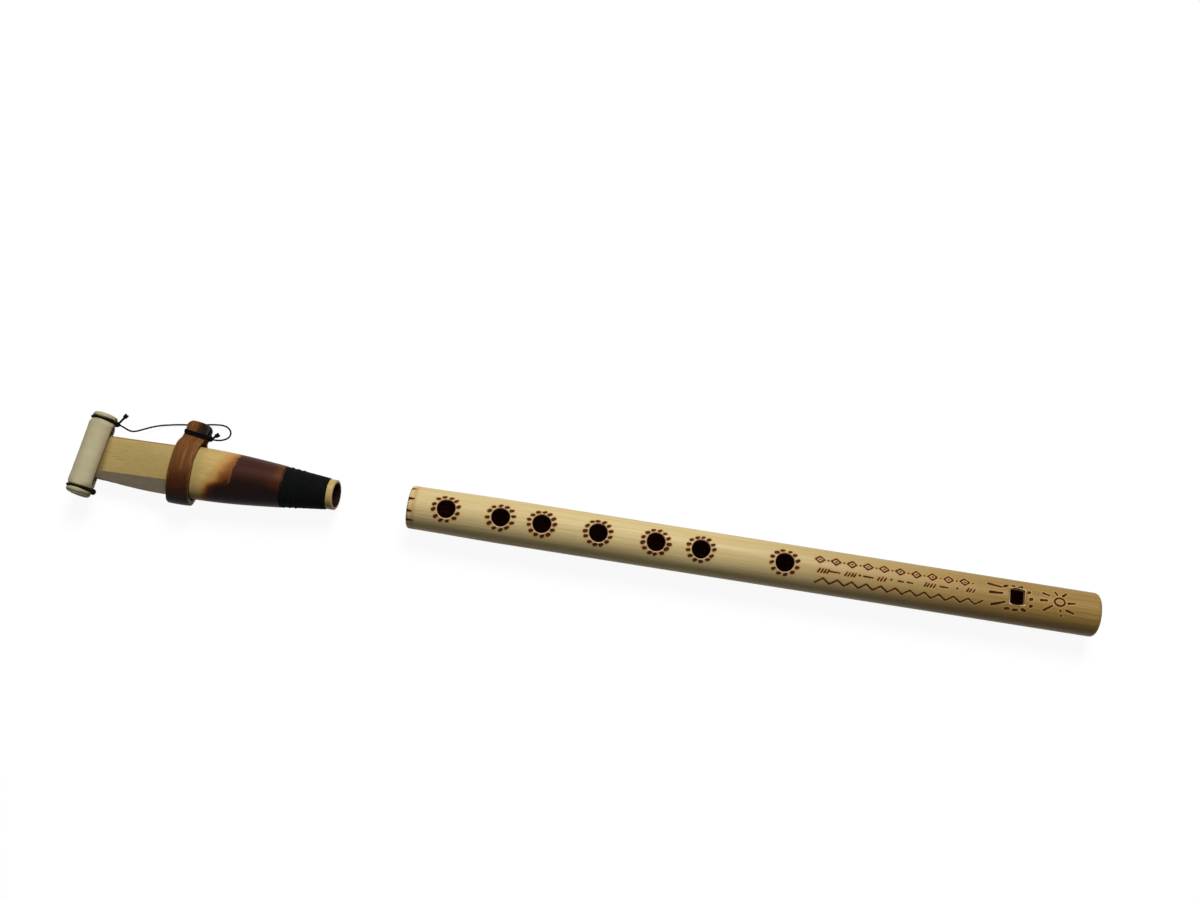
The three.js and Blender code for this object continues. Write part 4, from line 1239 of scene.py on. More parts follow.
def reed_finish():
    material, tree, shader, coordinates = start_finish(
        "reed_cane", Coat_Roughness=0.38, IOR=1.45, Specular_IOR_Level=0.08,
    )
    place, across = reed_places(tree, coordinates)
    grain, base = reed_base(tree, coordinates, place)
    heat, edge = flame_heat(tree, coordinates, place, across, grain["Streaks"])
    heat = product(tree, heat, summed(tree, swing(tree, grain["Streaks"], SMOKE), 1.0))
    painted = use_group(tree, scorched_colour, Cane_Colour=base, Heat=heat)["Colour"]
    before_edge = ranged(tree, edge, DARK_EDGE - 0.6, DARK_EDGE - 0.1)
    past_edge = ranged(tree, edge, DARK_EDGE + 0.6, DARK_EDGE)
    line = product(tree, before_edge, past_edge, ranged(tree, across, -5.0, -2.0))
    painted = glazed(tree, painted, FLAME_LINE, line, FLAME_LINE_STRENGTH)
    # Painted shade: the blade turns olive towards the cap's edge.
    painted = glazed(tree, painted, SEAM_SHADE_OLIVE, ranged(tree, place, *CAPPED_SHADE_PLACE), CAPPED_SHADE_STRENGTH)
    far_edge = product(tree, ranged(tree, across, 9.2, 9.9), ranged(tree, place, 60.0, 70.0))
    painted = glazed(tree, painted, SIDE_LINE, far_edge, SIDE_LINE_STRENGTH)
    rind = ranged(tree, place, *RIND_PLACE)
    paint(tree, shader, Base_Color=painted, Roughness=ranged(tree, rind, 0.0, 1.0, 0.58, 0.42))
    paint(tree, shader, Coat_Weight=product(tree, rind, ranged(tree, across, -3.0, 4.0), HANDLED_COAT))
    bumped(tree, shader, product(tree, grain["Streaks"], -1.0), 0.2, 0.03 * MM)
    return material


# The olive past this place is painted shade at the cap's edge.
print("the cap's stain starts", CAPPED_SHADE_PLACE[0], "mm from the tenon's end")

# %% [markdown]
# The bevels were cut through the rind with sandpaper, so they are pale and crossed by scratches;
# their colour is made paler still as painted light.
# Their colour fades to the blade's own towards the bridle, so that no hard edge shows there when
# the bridle is slid up. The inside of the reed is dark from the drill, the flame and breath, and
# darker still with painted shade.

# %% Finish: sanded bevels and inside
SANDED_FADE, SCRATCH_ANGLE = 4.8, 1.1
# Painted light: the sanded colours are made paler to stand in for light that the near bevel lacks.
SANDED_LIT_PALE, SANDED_LIT_STREAK, SCRATCH_TONE = colour(238, 218, 186), colour(208, 185, 152), colour(226, 208, 184)
# The inside's colours are partly the cane's own and partly painted shade.
INSIDE_SHADED_BROWN, INSIDE_SHADED_DARK = colour(38, 21, 13), colour(20, 11, 7)


def sanded_finish():
    material, tree, shader, coordinates = start_finish("sanded_reed_cane", IOR=1.4, Specular_IOR_Level=0.15)
    grain = use_group(tree, cane_grain, Coordinates=coordinates, Streak_Width=0.35, Streak_Length=9.0)
    turned = add(
        tree, "ShaderNodeVectorRotate", {"rotation_type": "Z_AXIS"}, Vector=coordinates, Angle=SCRATCH_ANGLE,
    ).outputs[0]
    crossing = use_group(tree, cane_grain, Coordinates=turned, Streak_Width=0.16, Streak_Length=4.0)
    scratches = crossing["Streaks"]
    base = glazed(tree, SANDED_LIT_PALE, SANDED_LIT_STREAK, grain["Streaks"], 0.6)
    base = glazed(tree, base, SCRATCH_TONE, scratches, 0.3)
    place = reed_places(tree, coordinates)[0]
    run_out = ranged(tree, place, BRIDLE_PLACE + SANDED_FADE, BRIDLE_PLACE)
    base = blended(tree, run_out, base, REED_TAN)
    paint(tree, shader, Base_Color=base, Roughness=ranged(tree, scratches, 0.0, 1.0, 0.62, 0.82))
    bumped(tree, shader, scratches, 0.35, 0.04 * MM)
    return material


def reed_inside_finish():
    material, tree, shader, coordinates = start_finish("reed_inside", IOR=1.4, Specular_IOR_Level=0.1)
    grain = use_group(tree, cane_grain, Coordinates=coordinates, Streak_Width=0.5, Streak_Length=16.0)
    base = blended(tree, grain["Streaks"], INSIDE_SHADED_BROWN, INSIDE_SHADED_DARK)
    paint(tree, shader, Base_Color=base, Roughness=ranged(tree, grain["Streaks"], 0.0, 1.0, 0.6, 0.8))
    bumped(tree, shader, grain["Streaks"], 0.4, 0.06 * MM)
    return material


reed_materials = [reed_finish(), sanded_finish(), reed_inside_finish(), tube_materials[CUT_CANE]]
print("reed finishes:", [material.name for material in reed_materials])

# %% Reed: build it
RIND, SANDED, INSIDE, CUT_RIM = range(4)
REED_CREASE = 24
INSIDE_DEPTH, LIP_INSIDE_DEPTH, LIP_INSIDE_REACH = 1.15, 0.6, 30


def sort_reed_faces(piece):
    """A finish for every face, by its ring and column."""
    profile = reed_profile()
    columns = REED_TOP_COLUMNS + REED_NEAR_COLUMNS + REED_UNDER_COLUMNS + REED_FAR_COLUMNS
    near = range(REED_TOP_COLUMNS, REED_TOP_COLUMNS + REED_NEAR_COLUMNS)
    far = range(columns - REED_FAR_COLUMNS, columns)
    chosen = []
    for ring, (place, depth) in enumerate(profile):
        onward, onward_depth = profile[(ring + 1) % len(profile)]
        deep = depth > INSIDE_DEPTH and onward_depth > INSIDE_DEPTH
        behind_lips = depth > LIP_INSIDE_DEPTH and place > REED_LENGTH - LIP_INSIDE_REACH and onward < place
        inside = deep or behind_lips
        cut = not inside and (place < 0.4 and depth > 0 or place >= REED_LENGTH - 0.05)
        for column in range(columns):
            flat = place > BRIDLE_PLACE and (column in near or column in far)
            chosen.append(INSIDE if inside else CUT_RIM if cut else SANDED if flat else RIND)
    piece.data.polygons.foreach_set("material_index", chosen)


reed_points, reed_faces = reed_surface()
reed = make_piece("reed_cane_dressed", reed_points, reed_faces, "reed", reed_materials)
sort_reed_faces(reed)
crease(reed, REED_CREASE)
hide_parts("reed_cane")
print("reed:", len(reed.data.vertices), "points")

# %% [markdown]
# The tenon is wound with black thread until it seals in the socket. The winding is modelled turn
# by turn, as one unbroken thread that climbs the tenon's taper. A second, hidden layer under it
# keeps light from showing between the turns, and a few turns of the outer layer cross at a
# slant near the end, where the thread was fastened off.

# %% Finish: thread
def thread_finish(name, tone, worn_tone):
    material, tree, shader, coordinates = start_finish(
        name, IOR=1.4, Specular_IOR_Level=0.06, Sheen_Weight=0.02, Sheen_Roughness=0.5,
    )
    fibres = noise(tree, coordinates, 5200.0, detail=3.0, roughness=0.7)
    patches = noise(tree, coordinates, 320.0)
    base = blended(tree, ranged(tree, fibres, 0.4, 0.7), tone, worn_tone)
    base = blended(tree, ranged(tree, patches, 0.5, 0.8), base, worn_tone)
    paint(tree, shader, Base_Color=base, Roughness=ranged(tree, fibres, 0.3, 0.7, 0.72, 0.92))
    bumped(tree, shader, fibres, 0.5, 0.05 * MM)
    return material


black_thread = thread_finish("black_thread", colour(7, 8, 8), colour(19, 20, 21))
waxed_thread = thread_finish("waxed_brown_thread", colour(10, 7, 5), colour(22, 16, 11))
for piece in tethers:
    piece.data.materials.append(waxed_thread)
print("thread finishes:", black_thread.name, waxed_thread.name)

# %% Tenon thread
WRAP_THREAD, WRAP_SIDES, WRAP_TURNS, WRAP_STEPS = 0.62, 8, 33, 36
WRAP_INSET, WRAP_REACH, WRAP_LIFT_SHARE = 0.35, 0.66, 0.35
HIDDEN_TURNS, HIDDEN_INSET, HIDDEN_REACH = 24, 0.2, 0.3
SLANTED_TURNS, SLANTED_START, SLANTED_END, SLANTED_LIFT = 2.6, 7.5, 0.6, 0.2
WANDER_RATES = (0.31, 0.53, 0.83, 1.19)


def wrap_path(turns, start, end, lift, wander, seed):
    draw = random.Random(seed)
    phases = [draw.uniform(0, 2 * math.pi) for _ in WANDER_RATES]
    path = []
    for step in range(int(turns * WRAP_STEPS) + 1):
        share = step / (turns * WRAP_STEPS)
        turn = 2 * math.pi * turns * share
        stray = sum(math.sin(turn * rate + phase) for rate, phase in zip(WANDER_RATES, phases))
        place = mix(start, end, share) + stray * wander
        seat = mix(WRAP_SEAT_TIP, WRAP_SEAT_ROOT, (place - TENON_RIM) / WRAP_LENGTH)
        reach = seat + lift + stray * wander * WRAP_LIFT_SHARE
        path.append((-REED_GAP - place, reach * math.cos(turn), reach * math.sin(turn)))
    return path


def wound_tenon():
    first, last = TENON_RIM + WRAP_INSET, WRAP_END - WRAP_INSET
    over = WRAP_REACH + SLANTED_LIFT
    paths = [
        wrap_path(WRAP_TURNS, first, last, WRAP_REACH, 0.035, 3),
        wrap_path(HIDDEN_TURNS, first + HIDDEN_INSET, last - HIDDEN_INSET, HIDDEN_REACH, 0.0, 4),
        wrap_path(SLANTED_TURNS, last - SLANTED_START, last - SLANTED_END, over, 0.04, 8),
    ]
    return thread_mesh([(path, WRAP_THREAD) for path in paths], sides=WRAP_SIDES)


wrap_points, wrap_faces = wound_tenon()
tenon_thread = make_piece(
    "tenon_thread_wound", wrap_points, wrap_faces, "reed", [black_thread],
)
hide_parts("tenon_thread")
print("tenon thread:", len(wrap_points), "points")

# %% [markdown]
# The bridle is one strip of brown cane that was soaked, bent round the reed and tied at its
# ends. It is drawn here as a rounded section that is swept along the strip's middle line. Its
# tied ends lean towards the tenon, the tie nips the sides in, and the tips are cut with round
# corners. On the near side the strip's inner face swells towards the reed's bevel, so that
# less light shows between them. Each point keeps its place along, across and through the strip,
# so the grain can bend with the cane.

# %% Bridle: the line it follows
REST_GAP = 0.3
BRIDLE_CENTRE = -REED_GAP - BRIDLE_PLACE
BRIDLE_WIDTH, BRIDLE_THICKNESS, BRIDLE_ENDS_GAP = 10.0, 1.9, 0.5
BRIDLE_SIDE_GAP = 1.4
BRIDLE_NEAR_REACH = BLADE_HALF_WIDTH + BRIDLE_SIDE_GAP + BRIDLE_THICKNESS
BRIDLE_NECK_REACH = BRIDLE_NEAR_REACH + 0.6
BRIDLE_TIE_REACH = BRIDLE_NECK_REACH + 1.6
BRIDLE_END_REACH = BRIDLE_TIE_REACH + 5.6
BRIDLE_LEAVE_ANGLE, BRIDLE_BEND_REACH = math.radians(48), 4.2
LEAN_START, LEAN_RAMP, BRIDLE_LEAN = BLADE_HALF_WIDTH + 0.3, 5.0, math.radians(8)
STRAIGHT_STEPS, BEND_STEPS, ROUND_STEPS = 34, 26, 150


def bridle_line():
    """The strip's middle line across the reed: from its upper end round the reed to its lower one."""
    half = BRIDLE_THICKNESS / 2
    half_height = reed_half_thickness(BRIDLE_PLACE - BRIDLE_WIDTH / 2) + REST_GAP + half
    half_width = BRIDLE_NEAR_REACH - half
    end_height = BRIDLE_ENDS_GAP / 2 + half
    cosine, sine = math.cos(BRIDLE_LEAVE_ANGLE), math.sin(BRIDLE_LEAVE_ANGLE)
    leave = np.array([half_width * cosine, half_height * sine])
    along = np.array([half_width * sine, -half_height * cosine])
    along /= np.linalg.norm(along)
    neck = np.array([BRIDLE_NECK_REACH, end_height])
    share = np.linspace(0, 1, BEND_STEPS)[:, None]
    bend = (
        (1 - share) ** 3 * neck + 3 * (1 - share) ** 2 * share * (neck - (BRIDLE_BEND_REACH / 2, 0))
        + 3 * (1 - share) * share ** 2 * (leave + along * BRIDLE_BEND_REACH) + share ** 3 * leave
    )
    back_share = 1 - np.linspace(0, 1, STRAIGHT_STEPS)[:-1]
    straight = BRIDLE_NECK_REACH + (BRIDLE_END_REACH - BRIDLE_NECK_REACH) * back_share
    straight = np.stack([straight, np.full(len(straight), end_height)], axis=1)
    angles = np.linspace(BRIDLE_LEAVE_ANGLE, 2 * math.pi - BRIDLE_LEAVE_ANGLE, ROUND_STEPS)[1:-1]
    around = np.stack([half_width * np.cos(angles), half_height * np.sin(angles)], axis=1)
    upper = np.vstack([straight, bend])
    return np.vstack([upper, around, upper[::-1] * (1, -1)])


def leaned(points):
    """Turns what lies past the start of the lean towards the tenon."""
    points = np.array(points, float)
    along, reach = points[:, 0] - BRIDLE_CENTRE, points[:, 1] - LEAN_START
    lean = BRIDLE_LEAN * ease(reach / LEAN_RAMP)
    points[:, 0] = BRIDLE_CENTRE + along * np.cos(lean) + reach * np.sin(lean)
    points[:, 1] = LEAN_START - along * np.sin(lean) + reach * np.cos(lean)
    return points


print("bridle line:", len(bridle_line()), "stations")

# %% Bridle: the strip
STRIP_CORNER, STRIP_CORNER_SHARE, STRIP_CROWN = 0.42, 0.9, 0.16
CORNER_STEPS, FACE_STEPS = 5, 11
TIP_ROUND, TIP_EDGE_ROUND, TIP_EDGE_SHARE = 3.1, 0.6, 0.4
TIE_NIP, TIE_NIP_REACH, TIED_HEIGHT_SQUARED = 0.32, 0.8, 1.2
LOWER_END_SHIFT, SHIFT_START, SHIFT_RAMP = 0.9, 8, 8
NEAR_SIDE_SWELL, SWELL_START, SWELL_RAMP = 0.7, 5, 6


def strip_section(half_width, half_thickness):
    """A rounded, slightly crowned rectangle, as places across and through the strip."""
    corner = min(STRIP_CORNER, half_width * STRIP_CORNER_SHARE, half_thickness * STRIP_CORNER_SHARE)
    inner_width, inner_height = half_width - corner, half_thickness - corner
    points = []
    for side, height, start in ((1, 1, 0.0), (-1, 1, 0.5), (-1, -1, 1.0), (1, -1, 1.5)):
        centre = (side * inner_width, height * inner_height)
        for angle in math.pi * (start + np.linspace(0, 0.5, CORNER_STEPS)):
            points.append((centre[0] + corner * math.cos(angle), centre[1] + corner * math.sin(angle)))
        if side * height > 0:
            for share in np.linspace(0, 1, FACE_STEPS)[1:-1]:
                points.append((side * inner_width * (1 - 2 * share), height * half_thickness))
    points = np.array(points)
    points[:, 1] -= STRIP_CROWN * (points[:, 0] / half_width) ** 2 * (points[:, 1] > 0)
    return points


def bridle_strip():
    """Points, faces, and each point's place along, across and through the strip."""
    line = bridle_line()
    tangents = np.gradient(line, axis=0)
    tangents /= np.linalg.norm(tangents, axis=1)[:, None]
    walked = np.concatenate([[0], np.cumsum(np.linalg.norm(np.diff(line, axis=0), axis=1))])
    points, places = [], []
    for index, ((y, z), tangent, place) in enumerate(zip(line, tangents, walked)):
        from_end = min(place, walked[-1] - place)
        lower = index > len(line) / 2
        nip = math.exp(-((y - BRIDLE_TIE_REACH) / TIE_NIP_REACH) ** 2) * (z * z < TIED_HEIGHT_SQUARED)
        half_width = BRIDLE_WIDTH / 2 - TIE_NIP * nip
        half_width += 0.07 * math.sin(place * 0.45 + 1.0) + 0.05 * math.sin(place * 1.1)
        if from_end < TIP_ROUND:
            half_width -= TIP_ROUND - math.sqrt(TIP_ROUND ** 2 - (TIP_ROUND - from_end) ** 2)
        half_thickness = BRIDLE_THICKNESS / 2
        if from_end < TIP_EDGE_ROUND:
            rounded = math.sqrt(max(0.0, 1 - (1 - from_end / TIP_EDGE_ROUND) ** 2))
            half_thickness *= TIP_EDGE_SHARE + (1 - TIP_EDGE_SHARE) * rounded
        section = strip_section(half_width, half_thickness)
        shift = LOWER_END_SHIFT * float(ease((y - SHIFT_START) / SHIFT_RAMP)) if lower else 0.0
        outward = (tangent[1], -tangent[0])
        across, through = section[:, 0], section[:, 1]
        through = through - NEAR_SIDE_SWELL * float(ease((-y - SWELL_START) / SWELL_RAMP)) * (through < 0)
        points.append(np.stack([
            BRIDLE_CENTRE + across + shift, y + through * outward[0], z + through * outward[1],
        ], axis=1))
        places.append(np.stack([np.full(len(section), place), across, through], axis=1))
    faces = skin_faces(len(points), len(points[0]))
    return leaned(np.vstack(points)), faces, np.vstack(places), walked[-1]


print("points round the strip:", len(strip_section(BRIDLE_WIDTH / 2, BRIDLE_THICKNESS / 2)))

# %% Finish: bridle cane
BRIDLE_BROWN = colour(138, 92, 48)
BRIDLE_RED = colour(73, 36, 14)
BRIDLE_PALE = colour(166, 124, 70)
BRIDLE_BLACK = colour(22, 10, 5)


def bridle_finish():
    """Cane browned right through over the flame, darkest at the tips, with painted shade on the near side."""
    material, tree, shader = start_finish(
        "browned_bridle_cane", Coat_Roughness=0.3, IOR=1.45, Specular_IOR_Level=0.07,
    )[:3]
    along_strip = stored(tree, "strip_place", "Vector")
    grain = use_group(tree, cane_grain, Coordinates=along_strip, Streak_Width=0.4, Streak_Length=16.0)
    wide = use_group(tree, cane_grain, Coordinates=along_strip, Streak_Width=1.3, Streak_Length=26.0)
    base = glazed(tree, BRIDLE_BROWN, BRIDLE_RED, wide["Streaks"], 0.6)
    base = glazed(tree, base, BRIDLE_RED, grain["Streaks"], 0.4)
    base = glazed(tree, base, BRIDLE_BLACK, grain["Flecks"], 0.5)
    # The stored values hold heat at the tips and painted shade along the near side.
    heat = stored(tree, "bridle_heat_and_shade")
    blotch = swing(tree, noise(tree, along_strip, 420.0, detail=3.0), 0.9)
    heat = maths(tree, "MULTIPLY", heat, maths(tree, "ADD", blotch, 1.0), clamp=True)
    base = blended(tree, ranged(tree, heat, 0.0, 0.55), base, BRIDLE_RED)
    base = blended(tree, ranged(tree, heat, 0.45, 0.95), base, BRIDLE_BLACK)
    # Paler outer corners: partly rubbed wear, partly a painted highlight.
    worn_and_highlight = product(tree, stored(tree, "edge_wear_and_highlight"), ranged(tree, grain["Bands"], 0.2, 0.9, 0.35, 0.9))
    base = blended(tree, worn_and_highlight, base, BRIDLE_PALE)
    charred = ranged(tree, heat, 0.5, 0.9)
    paint(tree, shader, Base_Color=base, Roughness=ranged(tree, charred, 0.0, 1.0, 0.5, 0.44))
    paint(tree, shader, Coat_Weight=ranged(tree, charred, 0.0, 1.0, 0.0, 0.05))
    bumped(tree, shader, summed(tree, wide["Streaks"], product(tree, grain["Streaks"], 0.5)), 0.35, 0.06 * MM)
    return material


bridle_cane = bridle_finish()
print("bridle finish:", bridle_cane.name)

# %% Bridle: build it
TIP_HEAT_REACH, TIP_HEAT_RAMP, TIP_HEAT, LOWER_TIP_SHARE = 7.6, 1.6, 0.95, 0.9
TIP_SIDE_START, TIP_SIDE_RAMP = -2.2, 5.4
NEAR_SIDE_SHADE_REACH, NEAR_SIDE_SHADE = 27.0, 0.95
SHOULDER_REACH, SHOULDER_RAMP, SHOULDER_HEAT = 9.5, 2.5, 0.4
SHOULDER_SIDE_START, SHOULDER_SIDE_RAMP = 3.4, 1.5
WEAR_HIGHLIGHT_ACROSS, WEAR_HIGHLIGHT_THROUGH, WEAR_HIGHLIGHT_RAMP, WEAR_HIGHLIGHT_STRENGTH = 4.55, 0.1, 0.3, 0.6


def strip_heat_and_shade(places, length):
    """More heat on the tenon's side of the tips, and painted shade along the near side of the reed."""
    place, across = places[:, 0], places[:, 1]
    from_end = np.minimum(place, length - place)
    tip_side = np.where(place < length / 2, ease((across - TIP_SIDE_START) / TIP_SIDE_RAMP), LOWER_TIP_SHARE)
    tip = ease((TIP_HEAT_REACH - from_end) / TIP_HEAT_RAMP) * tip_side
    # Painted shade where the strip turns down round the reed's near side.
    near_side_shade = ease(1 - np.abs(place - length * 0.5) / NEAR_SIDE_SHADE_REACH) * NEAR_SIDE_SHADE
    shoulder_side = ease((across - SHOULDER_SIDE_START) / SHOULDER_SIDE_RAMP)
    shoulder = ease((SHOULDER_REACH - from_end) / SHOULDER_RAMP) * shoulder_side * SHOULDER_HEAT
    return np.clip(np.maximum(np.maximum(tip * TIP_HEAT, near_side_shade), shoulder), 0, 1)


def strip_wear_and_highlight(places):
    """Rubbed edges, paled further as a painted highlight: the corners of the outer face."""
    across, through = np.abs(places[:, 1]), places[:, 2]
    outer_face = ease((through - WEAR_HIGHLIGHT_THROUGH) / WEAR_HIGHLIGHT_RAMP)
    return ease((across - WEAR_HIGHLIGHT_ACROSS) / WEAR_HIGHLIGHT_RAMP) * outer_face * WEAR_HIGHLIGHT_STRENGTH


strip_points, strip_faces, strip_places, strip_length = bridle_strip()
bridle = make_piece(
    "bridle_strip_bent", strip_points, strip_faces, "bridle", [bridle_cane],
)
keep_values(bridle, "strip_place", strip_places * MM, "FLOAT_VECTOR")
keep_values(bridle, "bridle_heat_and_shade", strip_heat_and_shade(strip_places, strip_length))
keep_values(bridle, "edge_wear_and_highlight", strip_wear_and_highlight(strip_places))
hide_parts("bridle_strip")
print("bridle strip:", round(strip_length, 1), "mm of cane")

# %% [markdown]
# The bridle's ends are held by a thread wound twice round them and knotted beside them. A knot
# is thread too, so it is drawn as thread: a tight ball of crossing loops, a cut tail, and at
# the tail's end a small knot whose two strands spread like a swallow's tail.

# %% Knots
TIE_THREAD, TAIL_THREAD = 0.82, 1.05
KNOT_LOOP_RADIUS, KNOT_STEPS = 0.98, 150
END_KNOT_LOOP_RADIUS, END_KNOT_THREAD = 0.6, 1.0
PRONG_REACH, PRONG_SPREAD, PRONG_BEND = 1.35, math.radians(36), 0.12
TAIL_REACH = 3.7
TAIL_SHAPE = ((0, 0, 0), (0.3, 0.22, 0.14), (0.66, 0.6, 0.24))


def knot_loops(centre, radius, stretch=(0.9, 1.0, 1.0), turned=0.4):
    """A closed path that crosses itself all over a small ball."""
    share = np.linspace(0, 2 * math.pi, KNOT_STEPS)
    out = np.sin(3 * share + turned)
    ball = np.stack([np.cos(3 * share + turned), out * np.cos(2 * share), out * np.sin(2 * share)], axis=1)
    return np.asarray(centre, float) + ball * radius * np.asarray(stretch)


def tail_with_end_knot(tail_points):
    """A cut tail, the small knot at its end, and the two strands that spread from it."""
    tail = even_path(tail_points, 0.2)
    end = tail[-1]
    onward = tail[-1] - tail[-4]
    onward /= np.linalg.norm(onward)
    beside = np.cross(onward, (0, 0, 1.0))
    beside /= np.linalg.norm(beside)
    lengths = [(tail, TAIL_THREAD), (knot_loops(end, END_KNOT_LOOP_RADIUS), END_KNOT_THREAD)]
    for side in (-1, 1):
        lean = onward * math.cos(PRONG_SPREAD) + beside * side * math.sin(PRONG_SPREAD)
        tip = end + lean * PRONG_REACH
        bent = end + lean * PRONG_REACH * 0.55 + onward * PRONG_BEND
        lengths.append((even_path([end, bent, tip], 0.15), END_KNOT_THREAD))
    return lengths


def knot_piece(name, lengths, body, node, place_points, strand_end=None):
    """A knot's threads, made square and then laid where they belong, and a strand to the tether."""
    laid = [(place_points(path), diameter) for path, diameter in lengths]
    if strand_end is not None:
        start = laid[0][0].mean(axis=0)
        laid.append((even_path([start, mix(start, strand_end, 0.6), strand_end], 0.2), TETHER_DIAMETER))
    points, faces = thread_mesh(laid, sides=10)
    knot = make_piece(name, points, faces, body, [black_thread])
    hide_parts(node)


BRIDLE_KNOT = np.array([BRIDLE_CENTRE + BRIDLE_WIDTH / 2 + 1.6, BRIDLE_TIE_REACH - 0.3, 0.0])
BRIDLE_TAIL = [BRIDLE_KNOT + TAIL_REACH * np.array(share) for share in TAIL_SHAPE]
AXIS_LEVEL = np.array([0, 0, AXIS_HEIGHT])
BRIDLE_TETHER_END = BRIDLE_SIDE_ROUTE[-1] - AXIS_LEVEL
CAP_TETHER_END = CAP_SIDE_ROUTE[0] - AXIS_LEVEL
bridle_knot_loops = (knot_loops(BRIDLE_KNOT, KNOT_LOOP_RADIUS), TIE_THREAD)
knot_piece(
    "bridle_knot_tied", [bridle_knot_loops, *tail_with_end_knot(BRIDLE_TAIL)],
    "bridle", "bridle_knot", leaned, BRIDLE_TETHER_END,
)
print("bridle knot at", leaned([BRIDLE_KNOT]).round(1).tolist())

# %% Bridle: neck tie
NECK_TIE_TURNS, NECK_TIE_STEPS = 2, 200
NECK_TIE_PITCH, NECK_TIE_PITCH_BY_KNOT = 0.76, 1.35
TIE_FULLNESS = 8


def squared(value):
    """Pushes a point of a circle outward, so that the circle becomes a rounded rectangle."""
    return math.copysign(abs(value) ** (2 / TIE_FULLNESS), value)


def neck_tie_path():
    """Two turns that lie together on the far side and part a little towards the knot."""
    half_along = (BRIDLE_WIDTH + LOWER_END_SHIFT) / 2 - TIE_NIP + TIE_THREAD / 2 - 0.1
    half_up = BRIDLE_ENDS_GAP / 2 + BRIDLE_THICKNESS + TIE_THREAD / 2 - 0.02
    path = []
    for turns in np.linspace(0.03, NECK_TIE_TURNS - 0.03, NECK_TIE_STEPS):
        angle = 2 * math.pi * turns
        along, up = squared(math.cos(angle)), squared(math.sin(angle))
        pitch = mix(NECK_TIE_PITCH, NECK_TIE_PITCH_BY_KNOT, (1 + math.cos(angle)) / 2)
        path.append((
            BRIDLE_CENTRE + LOWER_END_SHIFT / 2 + half_along * along,
            BRIDLE_TIE_REACH + pitch * (turns - NECK_TIE_TURNS / 2), half_up * up,
        ))
    return leaned(even_path(path[::4] + [path[-1]], 0.2))


neck_tie_points, neck_tie_faces = thread_mesh([(neck_tie_path(), TIE_THREAD)])
neck_tie = make_piece(
    "bridle_neck_tie_wound", neck_tie_points, neck_tie_faces, "bridle", [black_thread],
)
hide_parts("bridle_neck_tie")
print("neck tie:", round(path_length(neck_tie_path()), 1), "mm of thread")

# %% [markdown]
# The cap keeps the mouth pressed flat while the reed rests. It is two strips of half-round cane,
# laid over the mouth from both sides and tied at both ends with thread that sinks into a groove.
# Their rind is cream and smooth, they are slightly waisted, and their ends are rubbed round.
# Past the reed's edges their inner faces swell towards each other, so no gap shows at the ends.
# The cap lies at a slant, so each part is made square about the cap's middle and then turned.

# %% Cap: sizes and strips
CAP_LENGTH, CAP_WIDTH, CAP_BACK_WIDTH, CAP_HEIGHT = 37.0, 11.0, 9.4, 5.0
CAP_SLANT, CAP_SHIFT, CAP_OVER_MOUTH = math.radians(6), 0.8, 2.7
CAP_CENTRE = -REED_GAP - REED_LENGTH - CAP_OVER_MOUTH + CAP_WIDTH / 2
CAP_FACE_HEIGHT = reed_half_thickness(-REED_GAP - CAP_CENTRE - CAP_WIDTH / 2) + REST_GAP
CAP_END_ROUND, CAP_TIE_REACH = 1.4, CAP_LENGTH / 2 - 2.6
GROOVE_DEPTH, GROOVE_REACH = 0.55, 0.72
CAP_WAIST, CAP_WAVE, CAP_WAVE_RATES = 0.3, 0.018, (0.25, 0.6, 1.3)
CAP_RIM, CAP_RIM_SHARE, CAP_ARC_FULLNESS, CAP_HEIGHT_INSET = 0.35, 0.2, 0.96, 0.8
CAP_END_SWELL, CAP_SWELL_START, CAP_SWELL_RAMP = 2.75, 13.2, 2.4
CAP_ARC_COLUMNS, CAP_FACE_COLUMNS = 44, 10
CAP_ROUND_STEPS, CAP_FINE_FROM, CAP_FINE_STEP, CAP_STEP = 9, 14.2, 0.12, 0.5


def placed_cap(points):
    """Turns points about the cap's middle by its slant and moves them to the reed's mouth."""
    points = np.asarray(points, float)
    turned = points.copy()
    turned[:, 0] = CAP_CENTRE + points[:, 0] * math.cos(CAP_SLANT) + points[:, 1] * math.sin(CAP_SLANT)
    turned[:, 1] = CAP_SHIFT - points[:, 0] * math.sin(CAP_SLANT) + points[:, 1] * math.cos(CAP_SLANT)
    return turned


def cap_stations():
    """Places along a strip, closer together at its rounded ends and grooves."""
    end = CAP_LENGTH / 2
    angles = np.linspace(0, math.pi / 2, CAP_ROUND_STEPS)
    rounded = [end - CAP_END_ROUND * (1 - math.cos(angle)) for angle in angles]
    inner = np.arange(end - CAP_END_ROUND - CAP_FINE_STEP, CAP_FINE_FROM, -CAP_FINE_STEP)
    middle = np.arange(inner[-1] - CAP_STEP, 0, -CAP_STEP)
    half = [*rounded, *inner, *middle]
    return sorted([-place for place in half] + half)


